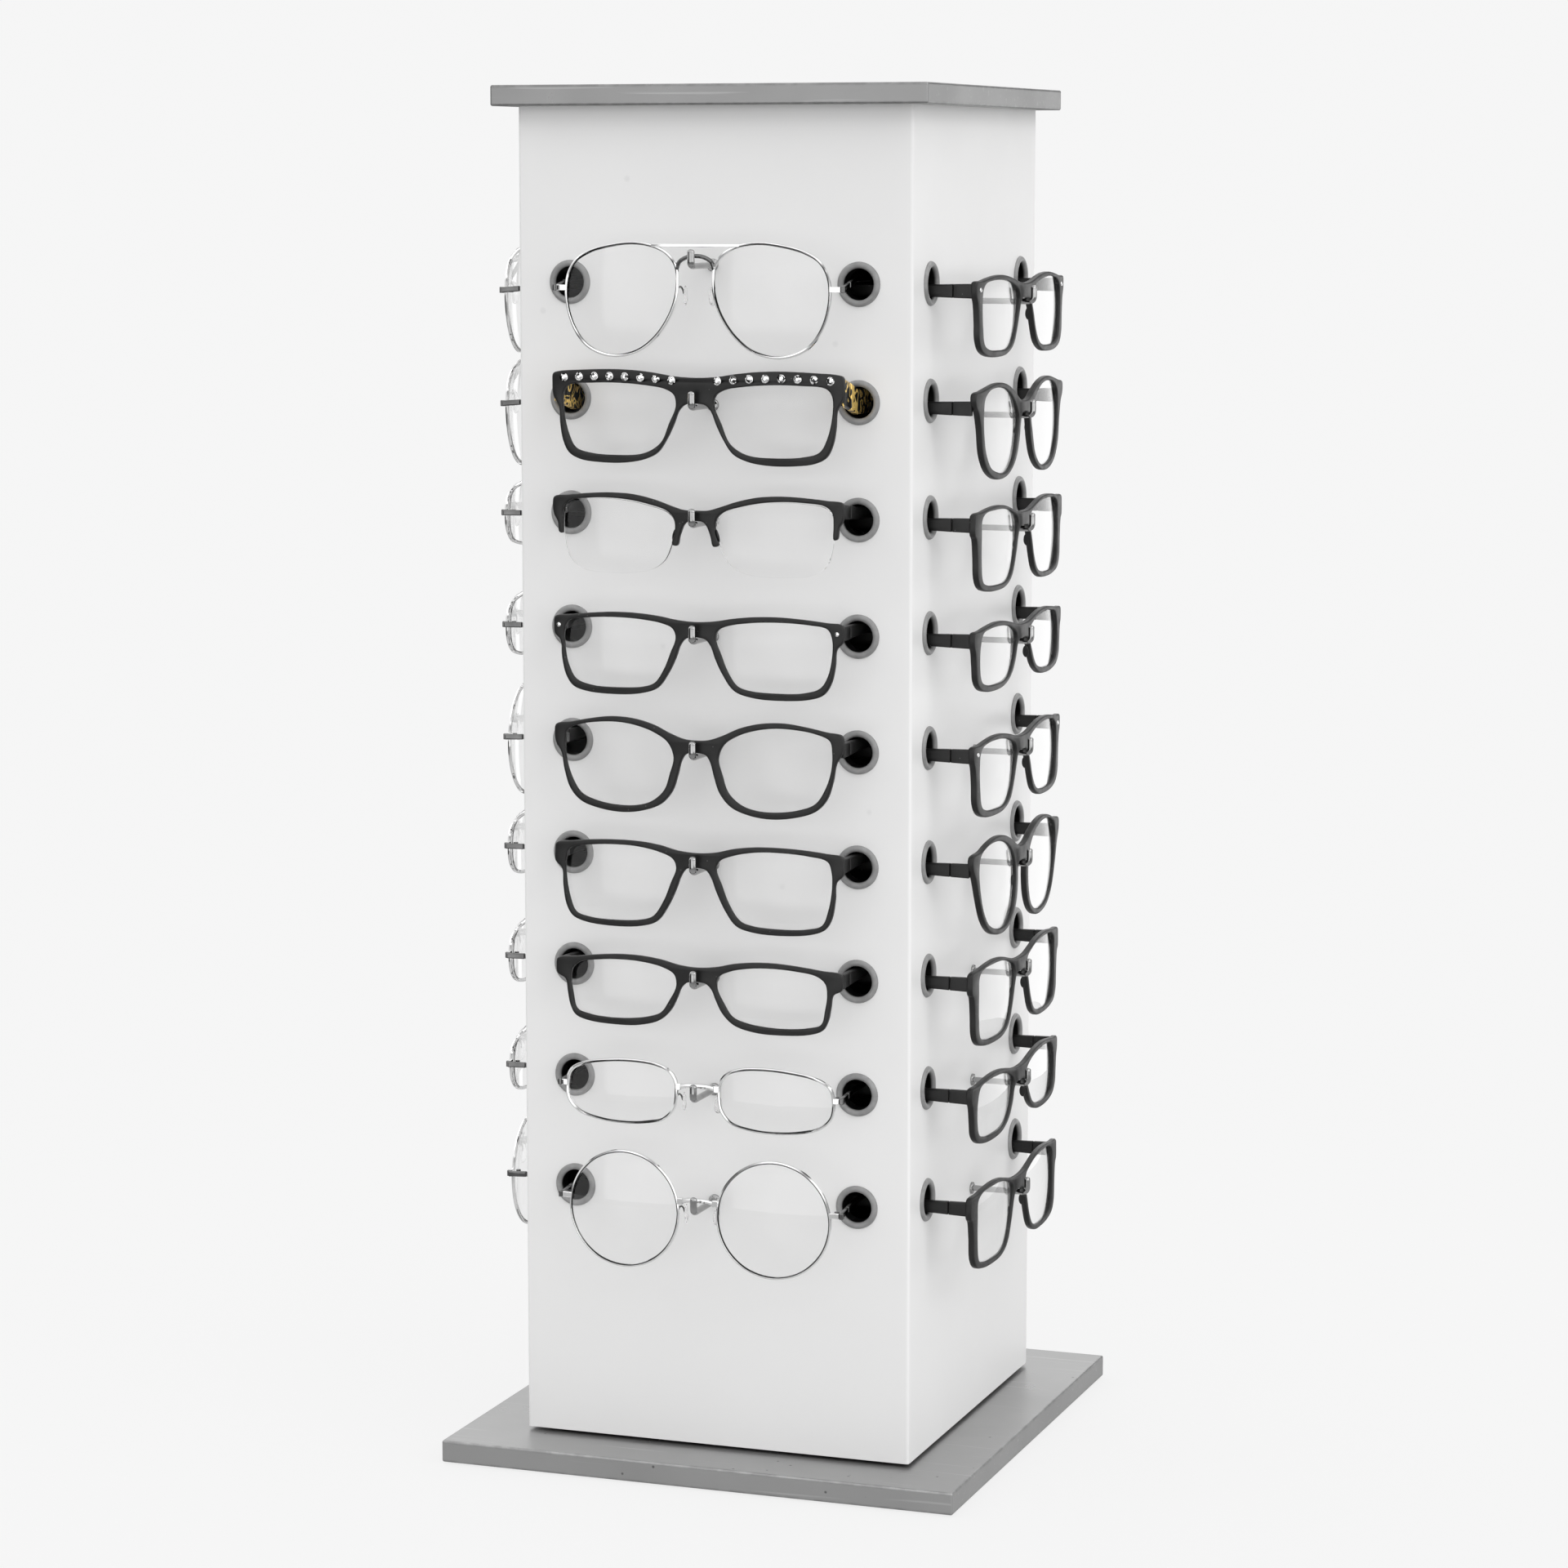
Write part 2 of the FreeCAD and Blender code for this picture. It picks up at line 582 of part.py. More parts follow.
# ---------------------------------------------------------------- spectacle outlines
# Right halves, in millimetres: x from the middle of the bridge, z from the row's holes.
# "rim" runs from the middle of the bridge over the top, down the side and back under
# the bridge; "lens" is the opening for one lens.
RIMS = {
    "flat_top": {
        "rim": [(0, 11), (10, 11.5), (20, 13), (30, 14), (42, 14.3), (56, 13.8), (67, 13),
                (69.6, 12), (70, 8), (69.5, 2), (68, -3), (67.3, -10), (65.6, -18),
                (62.5, -23.6), (57, -26.5), (46, -27.8), (34, -27.7), (25, -26),
                (19, -22.8), (14.5, -16.5), (11, -9.5), (8, -4), (5, -1.3), (2.5, -0.7)],
        "lens": [(9.2, -2), (11, -9.5), (14.5, -17.5), (19, -22), (26, -24.3), (38, -25),
                 (51, -24.3), (58.3, -22), (61.8, -15), (64, -4), (64.4, 3.6), (61.5, 6.9),
                 (50, 8), (38, 8.2), (24, 7.3), (14, 5.6), (10, 3)]},
    "soft_rectangle": {
        "rim": [(0, 6.4), (9, 7), (18, 8.5), (28, 9.5), (40, 9.7), (52, 8.9), (62, 7.8),
                (69.4, 6.8), (70, 3), (69.6, -1), (68, -4.2), (67, -12), (64.7, -20),
                (61, -24.8), (54, -27), (40, -27.9), (27, -27), (19.5, -24.2), (14, -17),
                (10.5, -10), (7.8, -4.5), (5, -1.5), (2.5, -0.7)],
        "lens": [(9.6, -1), (10.8, -8), (14, -15.5), (18.5, -21.8), (25, -24.5), (38, -25.3),
                 (51, -24.8), (58.7, -22.3), (62.2, -16), (64, -7), (64.5, 1), (62.4, 5),
                 (54, 6.6), (40, 7.3), (27, 6.8), (16, 5.2), (11, 3)]},
    "soft_oval": {
        "rim": [(0, 5.1), (6, 5.6), (13, 8), (21, 11.6), (31, 14), (42, 14.5), (53, 13),
                (62, 11.2), (69.3, 9.8), (70, 6), (69.4, 1.5), (68, -3), (66.2, -11),
                (63, -19.5), (57.5, -25), (48, -28), (36, -29.3), (26, -28), (18, -24.6),
                (12.5, -18.5), (9.8, -11), (7.4, -4.6), (5, -1.5), (2.5, -0.7)],
        "lens": [(10.7, -3), (11.3, -10.5), (14, -18), (20, -24), (29, -26.4), (39, -26.7),
                 (49, -25.2), (56.5, -21.3), (61, -14.5), (63.6, -6), (64.7, 2), (63.6, 7.3),
                 (57, 10.2), (47, 11.8), (37, 12), (28, 10.6), (20, 7.9), (13.5, 3.6)]},
    "square_ends": {
        "rim": [(0, 6.2), (9, 6.9), (18, 9), (28, 10.2), (40, 10.4), (52, 9.8), (62, 8.7),
                (69.5, 7.5), (70.2, 4), (70, -1), (68, -4.3), (67.2, -12), (65.3, -21),
                (62, -26), (55, -28.5), (40, -29.7), (27, -28.8), (20.3, -26.3),
                (15, -19.5), (10.8, -11), (7.8, -4.8), (5, -1.5), (2.5, -0.7)],
        "lens": [(9.7, -1), (11, -8), (14.3, -16), (19.5, -23.6), (26, -26.4), (40, -27.4),
                 (53, -26.8), (59.7, -24.7), (62.4, -17.5), (64, -8), (64.5, 0.5),
                 (62.6, 5.2), (54, 7.2), (40, 8.2), (28, 7.8), (17, 5.6), (11.3, 3)]},
    "narrow_rectangle": {
        "rim": [(0, 6), (9, 6.8), (18, 8.8), (28, 9.9), (38, 10), (50, 9), (60, 7.7),
                (69.3, 6.4), (70, 3), (69.4, -0.8), (66.6, -3.3), (65.3, -9), (63.8, -15),
                (61, -19.6), (54, -21.9), (40, -22.9), (28, -22.3), (19, -19.4),
                (13.5, -14.3), (10.2, -8), (7.7, -3.9), (5, -1.4), (2.5, -0.7)],
        "lens": [(9.8, -3), (12, -10), (16, -15.6), (23, -18.8), (33, -20.1), (44, -20.4),
                 (54, -19.4), (59.3, -16.8), (61, -10), (61.8, -3), (61.6, 2), (57.5, 5.2),
                 (48, 6.9), (37, 7.6), (26, 7.1), (16, 5.1), (10.8, 2.2)]},
    "riveted_square": {
        "rim": [(0, -0.9), (9, -0.3), (19, 1.6), (30, 3.1), (41, 3.4), (52, 2.5),
                (62, 1.2), (69.4, 0.6), (70, -2.5), (69.6, -5.8), (68, -9), (67.8, -17),
                (66.8, -25.3), (63, -30.2), (55, -32.8), (40, -33.7), (27, -32.5),
                (19, -28.4), (13.4, -20), (10, -13.4), (7.4, -9.6), (5, -8.2), (2.5, -7.9)],
        "lens": [(9.8, -8.5), (12, -15.5), (15.5, -22.5), (20.5, -28.3), (28, -30.7),
                 (40, -31.3), (52, -30.6), (58.3, -27.8), (60.2, -20), (60.8, -11),
                 (60.4, -3.2), (56.5, -0.4), (48, 0.9), (38, 1.1), (27, 0.2), (17, -1.9),
                 (11.3, -4.3)]},
    "soft_round": {
        "rim": [(0, -2.4), (7, -1.5), (14, 1.6), (23, 5.1), (33, 7), (43, 7.1),
                (53, 5.8), (62, 4.4), (69.2, 3.3), (70, 0.5), (69, -2.6), (66.2, -5.6),
                (64.5, -13), (61.7, -24), (55.5, -31.6), (46, -35.8), (35, -37),
                (24, -35), (15, -29.2), (9.8, -20.5), (7.4, -13), (5, -9), (2.5, -7.9)],
        "lens": [(10.2, -10), (11.6, -18.5), (15.5, -27), (22, -32.8), (31, -34.9),
                 (41, -34), (49.5, -30.6), (55.2, -24), (57.8, -15), (58.8, -6), (57.5, 0),
                 (51.5, 3.6), (43, 4.9), (33, 4.5), (23, 1.6), (14.5, -4)]},
    "large_rectangle": {
        "rim": [(0, -1.2), (9, -0.7), (18, 1.1), (28, 3.2), (39, 4), (50, 3.5), (60, 2.4),
                (69.4, 1.4), (70.2, -2), (70, -7.6), (68, -9.8), (67.6, -18),
                (66.4, -27.4), (62.6, -32.1), (54, -34.3), (40, -35.1), (27, -34),
                (19.3, -29.8), (13.3, -20), (9.8, -12.6), (7.2, -9.2), (5, -8.1),
                (2.5, -7.9)],
        "lens": [(9.8, -7), (11.8, -14.5), (15.5, -23), (20.3, -29.6), (28, -32.2),
                 (40, -33), (52.5, -32.3), (58.6, -29.8), (60.2, -20), (60.7, -9),
                 (60.2, -1.8), (56, 0.9), (42, 2), (28, 1.4), (17, -1), (11.3, -3.3)]},
    "small_rectangle": {
        "rim": [(0, -1), (9, -0.5), (18, 1.1), (28, 2.6), (40, 3.1), (52, 2.2), (62, 1),
                (69.4, 0.3), (70.2, -2.5), (69.8, -5.8), (68.4, -8.5), (68.3, -15),
                (66.8, -21.6), (62.5, -25.6), (54, -27.7), (40, -28.4), (27, -27),
                (18, -22.4), (12.4, -15.6), (9.6, -10.8), (7, -8.6), (4.5, -8), (2.5, -7.9)],
        "lens": [(10, -8), (13.2, -15), (18.8, -21.3), (27, -24.9), (40, -26),
                 (52, -25.5), (59.3, -22.7), (61.3, -15), (61, -6), (58, -1.2), (48, 0.6),
                 (38, 0.9), (26, 0), (16, -2.2), (11, -4.8)]},
    "tall_round": {
        "rim": [(0, -0.4), (7, 0.8), (15, 4.2), (25, 7.4), (36, 8.6), (48, 7.4),
                (59, 4.6), (69.2, 3), (70, 0), (69.2, -3.2), (66, -8), (62.6, -18),
                (56.5, -28), (47.5, -34.6), (36, -37.7), (25, -37.5), (15.5, -33.5),
                (9.3, -26), (7.2, -17), (6.3, -11), (4.6, -8.3), (2.5, -7.9)],
        "lens": [(9.8, -13), (10.2, -22), (14, -30), (21, -34.8), (30, -36), (40, -34.8),
                 (49, -30.4), (55.2, -23), (59, -13.5), (61.3, -4.5), (59.3, 1.8),
                 (51.5, 5), (41, 6.2), (30, 5.2), (19.5, 1.3), (12.5, -5)]},
}
# The half-rim pair: one bar with stubs, and lenses that hang free below it.
HALF_RIM = [(0, 4.1), (6, 4.3), (12, 6), (20, 8.6), (30, 10.7), (41, 11.3), (52, 10.8),
            (62, 9.8), (69.4, 8.8), (70.2, 5.5), (69.6, 0.8), (67.8, -2.4), (67, -7.3),
            (65.3, -7.6), (65.2, -1), (64.7, 4), (61.5, 7.2), (52, 8.6), (42, 8.9),
            (32, 8.2), (22, 6.3), (13.5, 3.6), (10, 0), (9.7, -5.5), (11.2, -11.4),
            (8.6, -11.8), (7.4, -7.5), (5.4, -2.6), (3.8, -1.1), (2.2, -0.7)]
HALF_LENS = [(10.3, -5), (12, -12), (15.5, -19), (22, -23.2), (32, -24.9), (44, -25),
             (55, -23.8), (61.6, -19.3), (64.4, -10), (64.7, -1), (64, 3.6), (60.8, 6.5),
             (52, 8), (42, 8.4), (32, 7.6), (22, 5.6), (14, 3), (10.7, -0.4)]
# Wire rims: the middle line of one rim.
WIRES = {
    "wire_aviator": [(8.6, 1), (9.3, 8), (13.2, 13.2), (20, 16.7), (30, 18.1), (41, 16.9),
                     (51, 14.3), (58, 10.4), (61.8, 4.5), (63, -3), (62, -12),
                     (58.8, -20.5), (53.5, -27.3), (46, -31.2), (37, -32.2), (27, -29.4),
                     (18.5, -22.8), (12, -13.2), (9.2, -5)],
    "wire_rectangle": [(10.4, 0), (11, 5.5), (14.2, 9.9), (20.5, 12.3), (32, 13.3),
                       (45, 12.5), (57, 10.2), (63.4, 6.4), (65.2, 0), (64.2, -7.2),
                       (59, -12.3), (50, -14.9), (38, -15.8), (25.5, -15.1), (16.5, -12.7),
                       (11.6, -7.2)],
    "wire_round": [(36.6 + 27.0 * math.cos(math.radians(30 * k)),
                    -4.1 + 27.0 * math.sin(math.radians(30 * k))) for k in range(12)],
}
# Height of the straight bridge bar and of the end piece on each wire front.
WIRE_BRIDGE = {"wire_aviator": 17.2, "wire_rectangle": 3.2, "wire_round": 2.2}
WIRE_END = {"wire_aviator": -2.0, "wire_rectangle": 0.6, "wire_round": 0.0}


def smooth_edges(points):
    """Cubic edges of a closed centripetal Catmull-Rom curve through (x, z) points."""
    count = len(points)
    vectors = [Vector(x, 0, z) for x, z in points]
    edges = []
    for index in range(count):
        before, start = vectors[index - 1], vectors[index]
        end, after = vectors[(index + 1) % count], vectors[(index + 2) % count]
        one = math.sqrt((start - before).Length)
        two = math.sqrt((end - start).Length)
        three = math.sqrt((after - end).Length)
        lead = (end * one ** 2 - before * two ** 2
                + start * (2 * one ** 2 + 3 * one * two + two ** 2))
        lead = lead / (3 * one * (one + two))
        tail = (start * three ** 2 - after * two ** 2
                + end * (2 * three ** 2 + 3 * three * two + two ** 2))
        tail = tail / (3 * three * (three + two))
        curve = Part.BezierCurve()
        curve.setPoles([start, lead, tail, end])
        edges.append(curve.toShape())
    return edges


def loop_face(points):
    return Part.Face(Part.Wire(smooth_edges(points)))


def offset_points(points, grow):
    """The same loop of points moved outwards by grow, along the local normal."""
    count = len(points)
    area = sum(points[i - 1][0] * points[i][1] - points[i][0] * points[i - 1][1]
               for i in range(count))
    side = 1.0 if area > 0 else -1.0
    moved = []
    for index in range(count):
        x_one, z_one = points[index - 1]
        x_two, z_two = points[(index + 1) % count]
        along = math.hypot(x_two - x_one, z_two - z_one)
        x_here, z_here = points[index]
        moved.append((x_here + side * grow * (z_two - z_one) / along,
                      z_here - side * grow * (x_two - x_one) / along))
    return moved


def eased(points, bridge, lowest, nose, outer):
    """The loop with its nose side and its outer side moved below the bridge.

    The rim is left broad along the nose and is filed thin under its end piece.
    """
    moved = []
    for x, z in points:
        below = bridge - 2.0 - z
        if below > 0 and x < 28:
            x += nose * min(1.0, below / 5) * min(1.0, (28 - x) / 6)
        elif below > 0 and x > 55:
            x += outer * max(0.0, 1 - 0.7 * below / (bridge - lowest))
        moved.append((x, z))
    return moved


for loops in RIMS.values():
    bridge = loops["rim"][-1][1]
    lowest = min(z for x, z in loops["rim"])
    loops["rim"] = eased(loops["rim"], bridge, lowest, -1.0, -1.3)
    loops["lens"] = eased(loops["lens"], bridge, lowest, 1.4, 0.7)


def mirrored(points):
    return [(-x, z) for x, z in points]


def whole_rim(half):
    """A closed loop from a right half that starts on the middle line."""
    left = [(-x, z) for x, z in reversed(half[1:])]
    return half + left


def curved_sheet(front, thick):
    """The space between two concentric cylinders, front being its outer depth."""
    bend = dim("front_bend")
    face_y = -dim("column_side") / 2
    centre = Vector(0, face_y - front + bend, -60)
    span = 82.0 / bend

    def at(radius, angle):
        return centre + Vector(radius * math.sin(angle), -radius * math.cos(angle), 0)

    outer = Part.Arc(at(bend, -span), at(bend, 0), at(bend, span)).toShape()
    near = bend - thick
    inner = Part.Arc(at(near, span), at(near, 0), at(near, -span)).toShape()
    wire = Part.Wire([outer, Part.LineSegment(at(bend, span), at(near, span)).toShape(),
                      inner, Part.LineSegment(at(near, -span), at(bend, -span)).toShape()])
    return Part.Face(wire).extrude(Vector(0, 0, 110))


frame_sheet = curved_sheet(dim("front_depth"), dim("frame_thick"))
lens_sheet = curved_sheet(dim("front_depth") - 1.1, dim("lens_thick"))
wire_sheet = curved_sheet(dim("front_depth") - 1.0, dim("wire_deep"))
DEEP = Vector(0, 60, 0)


def bent(face, sheet_shape):
    """Push a flat outline through a curved sheet and keep what they share."""
    prism = face.extrude(DEEP)
    prism.translate(Vector(0, -dim("column_side") / 2 - 45, 0))
    piece = prism.common(sheet_shape)
    if len(piece.Solids) != 1:
        raise ValueError("an outline gave %d solids" % len(piece.Solids))
    return piece.Solids[0]


def black_front(style):
    if style == "half_rim":
        return bent(loop_face(whole_rim(HALF_RIM)), frame_sheet)
    rim = loop_face(whole_rim(RIMS[style]["rim"]))
    opening = RIMS[style]["lens"]
    rim = rim.cut(loop_face(opening)).cut(loop_face(mirrored(opening)))
    return bent(rim.Faces[0], frame_sheet)


def flat_bar(x_from, x_to, z_middle, tall, sheet_shape):
    low = z_middle - tall / 2
    points = [(x_from, low), (x_to, low), (x_to, low + tall), (x_from, low + tall)]
    corner = [Vector(x, 0, z) for x, z in points]
    return bent(Part.Face(Part.makePolygon(corner + corner[:1])), sheet_shape)


def wire_front(style):
    """Two wire rims, their bridge, end pieces and the arms of the nose pads."""
    half = dim("wire_wide") / 2
    middle = WIRES[style]
    pieces = []
    for line in (middle, mirrored(middle)):
        ring_face = loop_face(offset_points(line, half)).cut(
            loop_face(offset_points(line, -half)))
        pieces.append(bent(ring_face.Faces[0], wire_sheet))
    right = max(x for x, z in middle)
    left = min(x for x, z in middle)
    bar = WIRE_BRIDGE[style]
    if style == "wire_aviator":
        pieces.append(flat_bar(-22, 22, bar, 1.6, wire_sheet))
        arch = [(-9.3, 6.4), (-6, 9.8), (0, 11.4), (6, 9.8), (9.3, 6.4),
                (9.1, 8.6), (6.3, 11.5), (0, 13.2), (-6.3, 11.5), (-9.1, 8.6)]
        pieces.append(bent(loop_face(arch), wire_sheet))
    else:
        pieces.append(flat_bar(-left - 0.2, left + 0.2, bar, 2.5, wire_sheet))
    face_y = -dim("column_side") / 2
    for sign in (-1, 1):
        ends = sorted((sign * (right - 0.3), sign * 69.6))
        pieces.append(flat_bar(ends[0], ends[1], WIRE_END[style], 2.6, wire_sheet))
        arm_from = Vector(sign * (left + 0.4), face_y - 21.8, -3.4)
        arm_to = Vector(sign * (left - 0.8), face_y - 18.2, -4.4)
        way = arm_to - arm_from
        pieces.append(Part.makeCylinder(0.5, way.Length, arm_from, way))
    front = pieces[0].multiFuse(pieces[1:]).removeSplitter()
    if len(front.Solids) != 1:
        raise ValueError("%s falls into %d solids" % (style, len(front.Solids)))
    return front.Solids[0]


def front_shape(style):
    return wire_front(style) if style in WIRES else black_front(style)


def lens_shapes(style):
    """The pair of lenses of one style, a hair smaller than their openings."""
    if style in WIRES:
        line = offset_points(WIRES[style], -dim("wire_wide") / 2 - 0.12)
    elif style == "half_rim":
        line = offset_points(HALF_LENS, -0.12)
    else:
        line = offset_points(RIMS[style]["lens"], -0.12)
    return [bent(loop_face(line), lens_sheet), bent(loop_face(mirrored(line)), lens_sheet)]


def temple_shape(low, tall, root_low, root_tall, thick, toe, sign):
    """One temple: it runs from its hinge through the hole and bends down at the ear.

    One that turns in further starts further out, so that it still clears the bore.
    """
    face_y = -dim("column_side") / 2
    root = 17.6
    straight = dim("temple_straight")
    drop = math.radians(dim("temple_drop"))
    tip = dim("temple_long") - straight - 10
    narrow = tall * 0.86

    def at(run, height):
        return Vector(-thick / 2, run, height)

    bend_run = straight + 10
    tip_run = bend_run + tip * math.cos(drop)
    tip_low = low - 1.2 - tip * math.sin(drop)
    across = Vector(0, math.sin(drop), math.cos(drop)) * narrow
    end_low = Vector(-thick / 2, tip_run, tip_low)
    end_high = end_low + across
    bend_low = Vector(-thick / 2, bend_run, low - 1.2)
    bend_high = bend_low + across
    nose = (end_low + end_high) / 2 + Vector(0, math.cos(drop), -math.sin(drop)) * narrow * 0.5
    top = low + tall
    curves = [
        Part.LineSegment(at(0, root_low), at(17, low)),
        Part.LineSegment(at(17, low), at(straight, low)),
        Part.Arc(at(straight, low), at(straight + 5.4, low - 0.3), bend_low),
        Part.LineSegment(bend_low, end_low),
        Part.Arc(end_low, nose, end_high),
        Part.LineSegment(end_high, bend_high),
        Part.Arc(bend_high, at((bend_high.y + straight) / 2 + 0.4,
                               (bend_high.z + top) / 2 + 0.5), at(straight, top)),
        Part.LineSegment(at(straight, top), at(17, top)),
        Part.LineSegment(at(17, top), at(0, root_low + root_tall)),
        Part.LineSegment(at(0, root_low + root_tall), at(0, root_low)),
    ]
    wire = Part.Wire([curve.toShape() for curve in curves])
    bar = Part.Face(wire).extrude(Vector(thick, 0, 0))
    bar.Placement = Placement(Vector(sign * (68.2 + 0.4 * toe), face_y - root, 0),
                              Rotation(Vector(0, 0, 1), sign * toe))
    return bar


def hinge_shape(low, tall, sign):
    """The hinge barrel behind an end piece, on the inner side of the temple."""
    return Part.makeCylinder(1.1, tall, Vector(sign * 65.6, -dim("column_side") / 2 - 16.6,
                                               low))


def pad_shapes(style):
    """The two soft nose pads of a wire front: small oval tablets."""
    left = min(x for x, z in WIRES[style])
    oval = Part.Face(Part.Wire(Part.Ellipse(Vector(0, 0, 0), 4.6, 2.6).toShape()))
    tablet = oval.extrude(Vector(0, 0, 2.0))
    tablet.translate(Vector(0, 0, -1.0))
    upright = Rotation(Vector(0, 1, 0), 90)
    pads = []
    for sign in (-1, 1):
        pad_body = tablet.copy()
        spot = Vector(sign * (left - 2.0), -dim("column_side") / 2 - 17.3, -5.2)
        splay = Rotation(Vector(0, 0, 1), -sign * 24)
        pad_body.Placement = Placement(spot, splay.multiply(upright)).multiply(
            tablet.Placement)
        pads.append(pad_body)
    return pads


# ---------------------------------------------------------------- what hangs where
# face: [(style, height of the pair above its row's usual seat, tilt in degrees), ...]
STOCK = {
    "front": [("wire_aviator", 0, 0), ("flat_top", 0, 0), ("half_rim", 0, 0),
              ("soft_rectangle", 0, 0), ("soft_oval", 0, 0), ("square_ends", 0, 0),
              ("narrow_rectangle", 0, 0), ("wire_rectangle", 0, 0), ("wire_round", 0, 0)],
    "right": [("riveted_square", 0, 0), ("soft_round", 0, 0), ("large_rectangle", 0, 0),
              ("small_rectangle", 0, 0), ("riveted_square", 0, 0), ("tall_round", 0, 0),
              ("large_rectangle", 0, 0), ("small_rectangle", 0, 0),
              ("large_rectangle", 0, 0)],
    "back": [("large_rectangle", 6.1, 0), ("small_rectangle", 6.1, 0),
             ("riveted_square", 6.1, 0), ("soft_round", 6.1, 0),
             ("small_rectangle", 6.1, 0), ("large_rectangle", 6.1, 0),
             ("tall_round", 6.1, 0), ("riveted_square", 6.1, 0)],
    "left": [("wire_aviator", -2.6, 0), ("wire_aviator", -2.6, 0),
             ("wire_rectangle", -3.6, 0), ("wire_rectangle", -3.6, 0),
             ("wire_round", -3.6, 0), ("wire_rectangle", -3.6, 0),
             ("wire_rectangle", -3.6, 0), ("wire_rectangle", -3.6, 0),
             ("wire_round", -3.6, 0)],
}
# Temples on the front and back pass high in the holes and those of the sides low, and
# facing sides turn in by different angles, so that all of them miss each other inside.
TOE = {"front": 0.6, "back": 5.6, "right": 0.6, "left": 5.6}
HIGH = {"front": True, "back": True, "right": False, "left": False}

shape_of = {}
for style in list(RIMS) + ["half_rim"] + list(WIRES):
    shape_of[style] = (front_shape(style), lens_shapes(style))


def temples_for(face, style, rise):
    """Both temples of a pair, in the face's own axes."""
    high = HIGH[face]
    pair = []
    for sign in (-1, 1):
        if style in WIRES:
            low = 1.0 if high else -4.2
            root = WIRE_END[style] + rise - 1.3
            pair.append(temple_shape(low, 2.6, root, 2.6, 1.8, TOE[face], sign))
        elif high:
            root = 5.4 if style == "half_rim" else 3.4
            root = 7.6 if style == "flat_top" else root
            pair.append(temple_shape(0.35, 5.5, root - 3.8, 6.8,
                                     dim("temple_thick"), TOE[face], sign))
        else:
            pair.append(temple_shape(-6.0, 5.6, -6.6, 6.6,
                                     dim("temple_thick"), TOE[face], sign))
    return pair


def hinges_for(face, style, rise):
    high = HIGH[face]
    if style in WIRES:
        low, tall = WIRE_END[style] + rise - 1.2, 2.4
    else:
        low, tall = (1.2, 4.0) if high else (-5.3, 4.0)
        low = low + (4.0 if style == "flat_top" else 0.0)
    return [hinge_shape(low, tall, sign) for sign in (-1, 1)]


FRONT_NODES = ["frame_front_1_wire_aviator", "frame_front_2_jewelled_flat_top",
               "frame_front_3_half_rim", "frame_front_4_soft_rectangle",
               "frame_front_5_soft_oval", "frame_front_6_square_ends",
               "frame_front_7_narrow_rectangle", "frame_front_8_wire_rectangle",
               "frame_front_9_wire_round"]
RIGHT_NODES = ["frame_right_1_riveted_square", "frame_right_2_soft_round",
               "frame_right_3_large_rectangle", "frame_right_4_small_rectangle",
               "frame_right_5_riveted_square", "frame_right_6_tall_round",
               "frame_right_7_large_rectangle", "frame_right_8_small_rectangle",
               "frame_right_9_large_rectangle"]
fronts = {"left": [], "back": []}
lenses = {face: [] for face in FACES}
temples = {"front_black": [], "front_gold": [], "front_wire": [],
           "right": [], "back": [], "left": []}
hinges, pads = [], []
for face, rows in STOCK.items():
    for row, (style, rise, tilt) in enumerate(rows, start=1):
        height = row_height(row) + rise
        front, pair = shape_of[style]
        piece = placed(front, face, height, tilt)
        if face == "front":
            feature_node(FRONT_NODES[row - 1], piece)
        elif face == "right":
            feature_node(RIGHT_NODES[row - 1], piece)
        else:
            fronts[face].append(piece)
        lenses[face] += [placed(lens, face, height, tilt) for lens in pair]
        group = face
        if face == "front":
            group = "front_wire" if style in WIRES else "front_black"
            group = "front_gold" if style == "flat_top" else group
        temples[group] += [placed(one, face, row_height(row))
                           for one in temples_for(face, style, rise)]
        hinges += [placed(one, face, row_height(row))
                   for one in hinges_for(face, style, rise)]
        if style in WIRES:
            pads += [placed(one, face, height) for one in pad_shapes(style)]
for face in ("back", "left"):
    feature_node("frames_" + face, solid_group(fronts[face]))
for face in FACES:
    feature_node("lenses_" + face, solid_group(lenses[face]))
for group, members in temples.items():
    feature_node("temples_" + group, solid_group(members))
feature_node("temple_hinges", solid_group(hinges))
feature_node("nose_pads", solid_group(pads))

# ---------------------------------------------------------------- stones and rivets
stones = []
for sign in (-1, 1):
    for index in range(8):
        x_stone = 11.0 + 7.55 * index
        depth = dim("front_depth") - x_stone ** 2 / (2 * dim("front_bend"))
        z_stone = 11.1 - 1.4 * abs(index - 4) ** 2 / 16
        stones.append(Part.makeCone(1.75, 1.0, 0.9, Vector(
            sign * x_stone, -dim("column_side") / 2 - depth - 0.15, z_stone), Vector(0, -1, 0)))
feature_node("brow_stones", solid_group(
    [placed(stone, "front", row_height(2)) for stone in stones]))
rivets = []
for face, row, rise, x_rivet, z_rivet in (
        ("front", 4, 0, 67.2, 3.0), ("right", 1, 0, 64.6, -2.9), ("right", 5, 0, 64.6, -2.9),
        ("back", 3, 6.1, 64.6, -2.9), ("back", 8, 6.1, 64.6, -2.9)):
    depth = dim("front_depth") - x_rivet ** 2 / (2 * dim("front_bend"))
    for sign in (-1, 1):
        stem = Part.makeCylinder(1.1, 0.5, Vector(
            sign * x_rivet, -dim("column_side") / 2 - depth - 0.08, z_rivet), Vector(0, -1, 0))
        rivets.append(placed(stem, face, row_height(row) + rise))
feature_node("rivets", solid_group(rivets))

